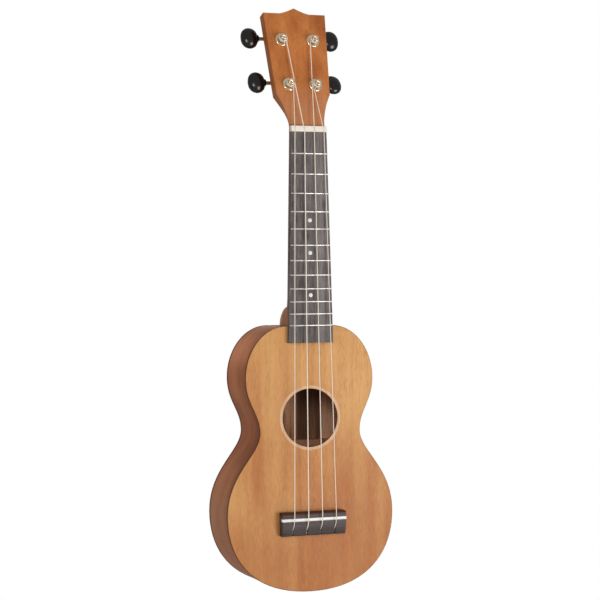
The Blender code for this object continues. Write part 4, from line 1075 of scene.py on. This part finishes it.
def build_strings():
    for name, diameter in STRING_DIAMETERS.items():
        knot = knot_points(name)
        saddle = Vector((saddle_x(name), SADDLE_STRING_Y, SADDLE_Z))
        nut = string_at_nut(name, 0.0)
        edge = slot_edge(name)
        down = (edge - saddle).normalized()
        dive = (knot[-1] - edge).normalized()
        along = (nut - saddle).normalized()
        crest = [saddle + SADDLE_BEND * down, saddle + SADDLE_BEND_CUT * (down + along) / 2,
                 saddle + SADDLE_BEND * along]
        bend = [edge + SLOT_BEND * dive, edge, edge - SLOT_BEND * down]
        span = [saddle + (nut - saddle) * share for share in shares(8)[1:]]
        points = knot + bend + crest + span + winding_points(name)
        bpy.ops.curve.primitive_nurbs_path_add()
        string = named("nylon_string_" + name)
        string.data.splines.clear()
        spline = string.data.splines.new("POLY")
        spline.points.add(len(points) - 1)
        for slot, point in zip(spline.points, points):
            slot.co = (*point, 1.0)
        string.data.dimensions = "3D"
        string.data.bevel_depth = diameter / 2
        string.data.bevel_resolution = 3
        string.data.use_fill_caps = True
        take(string)
        bpy.ops.object.convert(target="MESH")
        string = bpy.context.object
        edit(string)
        close(string)
        fitted(smooth(string, 50), NYLON, "nylon", FIXED, "string_" + name)


# Tuners
def post_shape():
    """Turned post with a waist for the string, rounded lips and a cross hole."""
    lip = POST_RADIUS - POST_WAIST
    middle = POST_RADIUS - 0.3 * lip
    waist_top = POST_HOLE_HEIGHT + POST_HOLE_RADIUS
    end = WHEEL_FRONT + WHEEL_WIDTH
    shoulder = WHEEL_FRONT - POST_GAP
    profile = [(0, end), (POST_STUB, end), (POST_STUB, shoulder), (POST_RADIUS, shoulder),
               (POST_RADIUS, -FLANGE_TOP), (middle, -FLANGE_TOP - 0.7 * lip),
               (POST_WAIST, -FLANGE_TOP - 1.2 * lip), (POST_WAIST, -waist_top),
               (middle, -waist_top - 0.5 * lip), (POST_RADIUS, -waist_top - lip)]
    profile += arc((POST_RADIUS - POST_ROUND, POST_ROUND - POST_HEIGHT), POST_ROUND, 0, -90, 4)
    profile += [(radius, depth - POST_HEIGHT) for radius, depth in POST_DIMPLE]
    post = turned("post", profile)
    near = Vector((0, -POST_HOLE_HEIGHT, -2 * POST_RADIUS))
    far = Vector((0, -POST_HOLE_HEIGHT, 2 * POST_RADIUS))
    combined(post, "DIFFERENCE", rod("drill", near, far, POST_HOLE_RADIUS, 24))
    return smooth(post, 40)


def bushing_shape():
    """Sleeve in the headstock with a round flange on the face."""
    bore = POST_RADIUS + POST_GAP
    profile = [(bore, BUSHING_LENGTH), (BUSHING_RADIUS, BUSHING_LENGTH)]
    profile += [(BUSHING_RADIUS, 0.0), (FLANGE_RADIUS, 0.0)]
    profile += arc((FLANGE_RADIUS - FLANGE_ROUND, FLANGE_ROUND - FLANGE_TOP), FLANGE_ROUND, 0, -90, 5)
    profile += [(bore + POST_GAP, -FLANGE_TOP), (bore, POST_GAP - FLANGE_TOP)]
    return smooth(turned("bushing", profile), 30)


def wheel_shape():
    """Dished worm wheel with teeth slanted to the worm's lead; a gap between teeth faces the worm."""
    twist = WORM_PITCH / (FULL_TURN * WORM_PITCH_RADIUS) / WHEEL_PITCH_RADIUS
    outline = []
    for k in range(WHEEL_TEETH):
        middle = FULL_TURN * (k + 0.5) / WHEEL_TEETH
        for radius, half in ((WHEEL_ROOT, -TOOTH_ROOT_HALF), (WHEEL_TIP, -TOOTH_TIP_HALF),
                             (WHEEL_TIP, TOOTH_TIP_HALF), (WHEEL_ROOT, TOOTH_ROOT_HALF)):
            angle = middle + half / radius
            outline.append((radius * math.sin(angle), WHEEL_FRONT, radius * math.cos(angle)))
    wheel = slab("wheel", outline, (0, WHEEL_WIDTH, 0))
    back = WHEEL_FRONT + WHEEL_WIDTH
    bore = POST_STUB + WHEEL_BORE_GAP
    dish = WHEEL_ROOT - WHEEL_RIM
    profile = ((0, 0), (bore, 0), (bore, back - WHEEL_DISH), (dish, back - WHEEL_DISH),
               (dish, 2 * back), (0, 2 * back))
    combined(wheel, "DIFFERENCE", turned("bore", profile, 28))
    for vertex in wheel.data.vertices:
        turn = Matrix.Rotation(twist * (vertex.co.y - WORM_BACK), 3, "Y")
        vertex.co = turn @ vertex.co
    rounded(wheel, WHEEL_EDGE, 2, 50)
    return smooth(wheel, 30)


def plate_shape():
    """Base plate with round corners and two upturned ears that carry the worm shaft."""
    half = PLATE_HALF
    depth = PLATE_BACK - HEAD_THICKNESS
    corners = ((half, PLATE_LOW), (half, PLATE_HIGH), (-half, PLATE_HIGH), (-half, PLATE_LOW))
    base = slab("plate", [(x, HEAD_THICKNESS, z) for x, z in corners], (0, depth, 0))
    edit(base)
    pick_edges(lambda a, b: abs(a.y - b.y) > depth / 2)
    bpy.ops.mesh.bevel(offset=PLATE_CORNER, segments=8, affect="EDGES")
    close(base)
    rounded(base, PLATE_ROUND, 2, 60)
    foot = PLATE_BACK - EAR_ROOT
    arch = [(WORM_CENTRE + up, WORM_BACK + out) for up, out in arc((0, 0), EAR_HALF, 0, 180, 24)]
    arch += [(WORM_CENTRE - EAR_HALF, foot), (WORM_CENTRE + EAR_HALF, foot)]
    for inner in (EAR_INSET - half, half - EAR_THICKNESS - EAR_INSET):
        ear = slab("ear", [(inner, y, z) for z, y in arch], (EAR_THICKNESS, 0, 0))
        combined(base, "UNION", rounded(ear, EAR_ROUND, 2, 60))
    left = (-2 * half, WORM_BACK, WORM_CENTRE)
    right = (2 * half, WORM_BACK, WORM_CENTRE)
    combined(base, "DIFFERENCE", rod("drill", left, right, SHAFT_RADIUS + SHAFT_GAP, 28))
    combined(base, "DIFFERENCE", rod("drill", (0, 0, 0), (0, 2 * PLATE_BACK, 0), POST_RADIUS + POST_GAP, 32))
    return smooth(base, 30)


def screw_shape(radius, height):
    """Round-headed screw with a straight slot, standing on its place along +Y."""
    rim = 0.25 * height
    profile = [(0, -SCREW_SINK), (radius, -SCREW_SINK), (radius, rim)]
    angles = [share * math.pi / 2 for share in shares(6)[1:-1]]
    profile += [(radius * math.cos(a), rim + (height - rim) * math.sin(a)) for a in angles]
    screw = turned("screw", profile + [(0, height)], 32)
    low = (-2 * radius, 0.45 * height, -SCREW_SLOT_HALF)
    slot = block("slot", low, (2 * radius, 2 * height, SCREW_SLOT_HALF))
    return smooth(combined(screw, "DIFFERENCE", slot), 40)


def shaft_shape(side):
    """Worm shaft: a right-hand thread on a rod that runs out to the knob."""
    inner = -SHAFT_INNER_END
    profile = [(0, inner), (SHAFT_RADIUS - SHAFT_EDGE, inner), (SHAFT_RADIUS, inner + SHAFT_EDGE),
               (SHAFT_RADIUS, SHAFT_OUTER_END), (0, SHAFT_OUTER_END)]
    shaft = placed(turned("shaft", profile, 32), Matrix.Rotation(-side * math.pi / 2, 4, "Z"))
    base = SHAFT_RADIUS - WORM_SINK
    rings = []
    for share in shares(round(WORM_TURNS * 28)):
        turn = (share - 0.5) * WORM_TURNS * FULL_TURN
        along = WORM_PITCH * turn / FULL_TURN
        fade = min(1.0, 6 * min(share, 1 - share) + 0.02)
        crest = base + (WORM_CREST - base) * fade
        out = Vector((0, math.sin(turn), -math.cos(turn)))
        half = ((WORM_ROOT_HALF, base), (1.25 * WORM_CREST_HALF, crest - WORM_CREST_DROP),
                (0.6 * WORM_CREST_HALF, crest))
        corners = [(-shift, radius) for shift, radius in half] + list(reversed(half))
        rings.append([Vector((along + shift, 0, 0)) + radius * out for shift, radius in corners])
    return smooth(combined(shaft, "UNION", lofted("thread", rings)), 30)


def knob_shape(side):
    """Plump oval button on a short collar."""
    first, last = KNOB_BULB_ANGLES
    half = (KNOB_LENGTH - KNOB_BULB_START) / (math.cos(first) - math.cos(last))
    middle = KNOB_BULB_START + half * math.cos(first)
    collar = KNOB_COLLAR_RADIUS
    stations = [(along, collar - cut, collar - cut) for along, cut in KNOB_COLLAR_EDGE]
    for share in shares(28):
        angle = first + (last - first) * share
        full = math.sin(angle) ** KNOB_BULB_FULLNESS
        stations.append((middle - half * math.cos(angle), full * KNOB_HALF_THICKNESS, full * KNOB_HALF_WIDTH))
    rings = []
    for along, thick, wide in stations:
        x = side * (KNOB_INNER_END + along)
        angles = [FULL_TURN * k / 48 for k in range(48)]
        rings.append([Vector((x, thick * math.cos(a), wide * math.sin(a))) for a in angles])
    return smooth(lofted("knob", rings), 50)


def build_tuners():
    post = post_shape()
    bushing = bushing_shape()
    wheel = wheel_shape()
    base = plate_shape()
    plate_screw = screw_shape(*PLATE_SCREW)
    wheel_screw = screw_shape(*WHEEL_SCREW)
    shafts = {side: shaft_shape(side) for side in (-1, 1)}
    knobs = {side: knob_shape(side) for side in (-1, 1)}
    on_wheel = Matrix.Translation((0, WHEEL_FRONT + WHEEL_WIDTH - WHEEL_SCREW_SINK, 0))
    for name, (across, up) in POSTS.items():
        side = POST_SIDES[name]
        at_post = HEAD @ Matrix.Translation((across, 0, up))
        at_worm = HEAD @ Matrix.Translation((across, WORM_BACK, up + WORM_CENTRE))
        turning = "post_and_wheel_" + name
        knob_body = "knob_and_worm_" + name
        fitted(copied(post, "turned_post_" + name, at_post), NICKEL, "nickel", turning, "string_post_" + name)
        fitted(copied(wheel, "cut_wheel_" + name, at_post), NICKEL, "nickel", turning, "worm_wheel_" + name)
        fitted(copied(wheel_screw, "wheel_screw_" + name, at_post @ on_wheel), NICKEL, "nickel", turning)
        fitted(copied(bushing, "eyelet_" + name, at_post), NICKEL, "nickel", FIXED, "post_bushing_" + name)
        fitted(copied(base, "bent_plate_" + name, at_post), NICKEL, "nickel", FIXED, "tuner_plate_" + name)
        for end, height, angle in PLATE_SCREWS:
            spot = Matrix.Translation((0, PLATE_BACK, height)) @ Matrix.Rotation(math.radians(angle), 4, "Y")
            screw = copied(plate_screw, f"plate_screw_{end}_{name}", at_post @ spot)
            fitted(screw, NICKEL, "nickel", FIXED)
        worm = copied(shafts[side], "cut_worm_" + name, at_worm)
        fitted(worm, WORM_STEEL, "nickel", knob_body, "worm_shaft_" + name)
        turn = Matrix.Rotation(KNOB_REST_TURNS[name], 4, "X")
        knob = copied(knobs[side], "button_" + name, at_worm @ turn)
        fitted(knob, BLACK_PLASTIC, "black_plastic", knob_body, "tuner_knob_" + name)
    discard(post, bushing, wheel, base, plate_screw, wheel_screw, *shafts.values(), *knobs.values())


# Solids that stay as they are inside the body
def dress_inner_solids():
    for name in ("neck_block", "tail_block", "brace_top_upper", "brace_top_lower", "brace_back_upper",
                 "brace_back_lower", "bridge_plate"):
        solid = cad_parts[name]
        for slot in solid.material_slots:
            slot.material = INNER_WOOD


# Floor, light and camera
FLOOR_Z = -0.85
FLOOR_RADIUS = 1.5
FLOOR_FADE = (0.45, 1.45)
AMBIENT = 0.32
GLOSSY_SHARE = 0.14
AIM = Vector((0.0, 0.02, -0.15))
CAMERA_PLACE = (-0.53318, -1.45425, -0.14680)
CAMERA_RIGHT = Vector((0.940938, -0.338393, -0.011212))
CAMERA_FORWARD = Vector((0.338393, 0.941003, -0.001945))
CAMERA_LENS = 104.223
SENSOR_WIDTH = 36.0


def build_floor():
    """Pale disc well below the tail; towards its edge the camera sees it fade into the white."""
    bpy.ops.mesh.primitive_circle_add(vertices=96, radius=FLOOR_RADIUS, fill_type="NGON")
    floor = placed(named("floor"), Matrix.Translation((0, 0, FLOOR_Z)))
    finish = Finish("floor_paint", {"Roughness": 0.9, "Base Color": colour(0.86, 0.86, 0.85)})
    x, y = finish.places[:2]
    spot = finish.node("ShaderNodeCombineXYZ", {}, {0: x, 1: y})
    reach = finish.node("ShaderNodeVectorMath", {"operation": "LENGTH"}, {0: spot}, "Value")
    seen = finish.node("ShaderNodeLightPath", {}, {}, "Is Camera Ray")
    white = finish.node("ShaderNodeEmission", {}, {"Strength": 1.0})
    paint = Value(finish, finish.shader.outputs[0])
    share = seen * (0.5 + 0.5 * reach.between(*FLOOR_FADE))
    shown = finish.node("ShaderNodeMixShader", {}, {0: share, 1: paint, 2: white})
    finish.give(finish.tree.nodes["Material Output"].inputs["Surface"], shown)
    floor.data.materials.append(finish.material)


def build_world():
    """Even white surroundings, dimmed where they light the object."""
    world = bpy.data.worlds.new("studio")
    bpy.context.scene.world = world
    world.use_nodes = True
    nodes = Nodes(world.node_tree)
    background = nodes.tree.nodes["Background"].inputs
    camera = nodes.node("ShaderNodeLightPath", {}, {}, "Is Camera Ray")
    seen = camera + GLOSSY_SHARE * camera.other("Is Glossy Ray")
    clear = seen.at_least(camera.other("Is Transmission Ray"))
    nodes.give(background["Color"], colour(1.0, 1.0, 1.0))
    nodes.give(background["Strength"], AMBIENT + (1 - AMBIENT) * clear)


def lamp(name, place, size, power):
    """Soft square lamp aimed at the middle of the instrument."""
    turn = (AIM - Vector(place)).to_track_quat("-Z", "Y").to_euler()
    bpy.ops.object.light_add(type="AREA", location=place, rotation=turn)
    light = named(name)
    light.data.size = size
    light.data.energy = power


def build_camera():
    """The photograph's viewpoint, from a fit to the frets, the soundhole and the outline."""
    bpy.ops.object.camera_add()
    camera = named("photo_camera")
    up = CAMERA_RIGHT.cross(CAMERA_FORWARD)
    turn = Matrix((CAMERA_RIGHT, up, -CAMERA_FORWARD)).transposed().to_4x4()
    camera.matrix_world = Matrix.Translation(CAMERA_PLACE) @ turn
    camera.data.sensor_width = SENSOR_WIDTH
    camera.data.lens = CAMERA_LENS
    camera.data.clip_start = 0.05
    bpy.context.scene.camera = camera


build_body()
build_neck()
build_fretboard()
build_frets()
build_dots()
build_nut()
build_bridge()
build_saddle()
build_strings()
build_tuners()
dress_inner_solids()
build_floor()
build_world()
lamp("key", place=(1.9, -3.6, -0.85), size=1.8, power=86.0)
lamp("fill", place=(-0.75, -1.75, 0.35), size=0.5, power=8.0)
lamp("back_light", place=(0.9, 2.2, -0.1), size=1.6, power=24.0)
build_camera()
bpy.context.scene.view_settings.view_transform = "Standard"
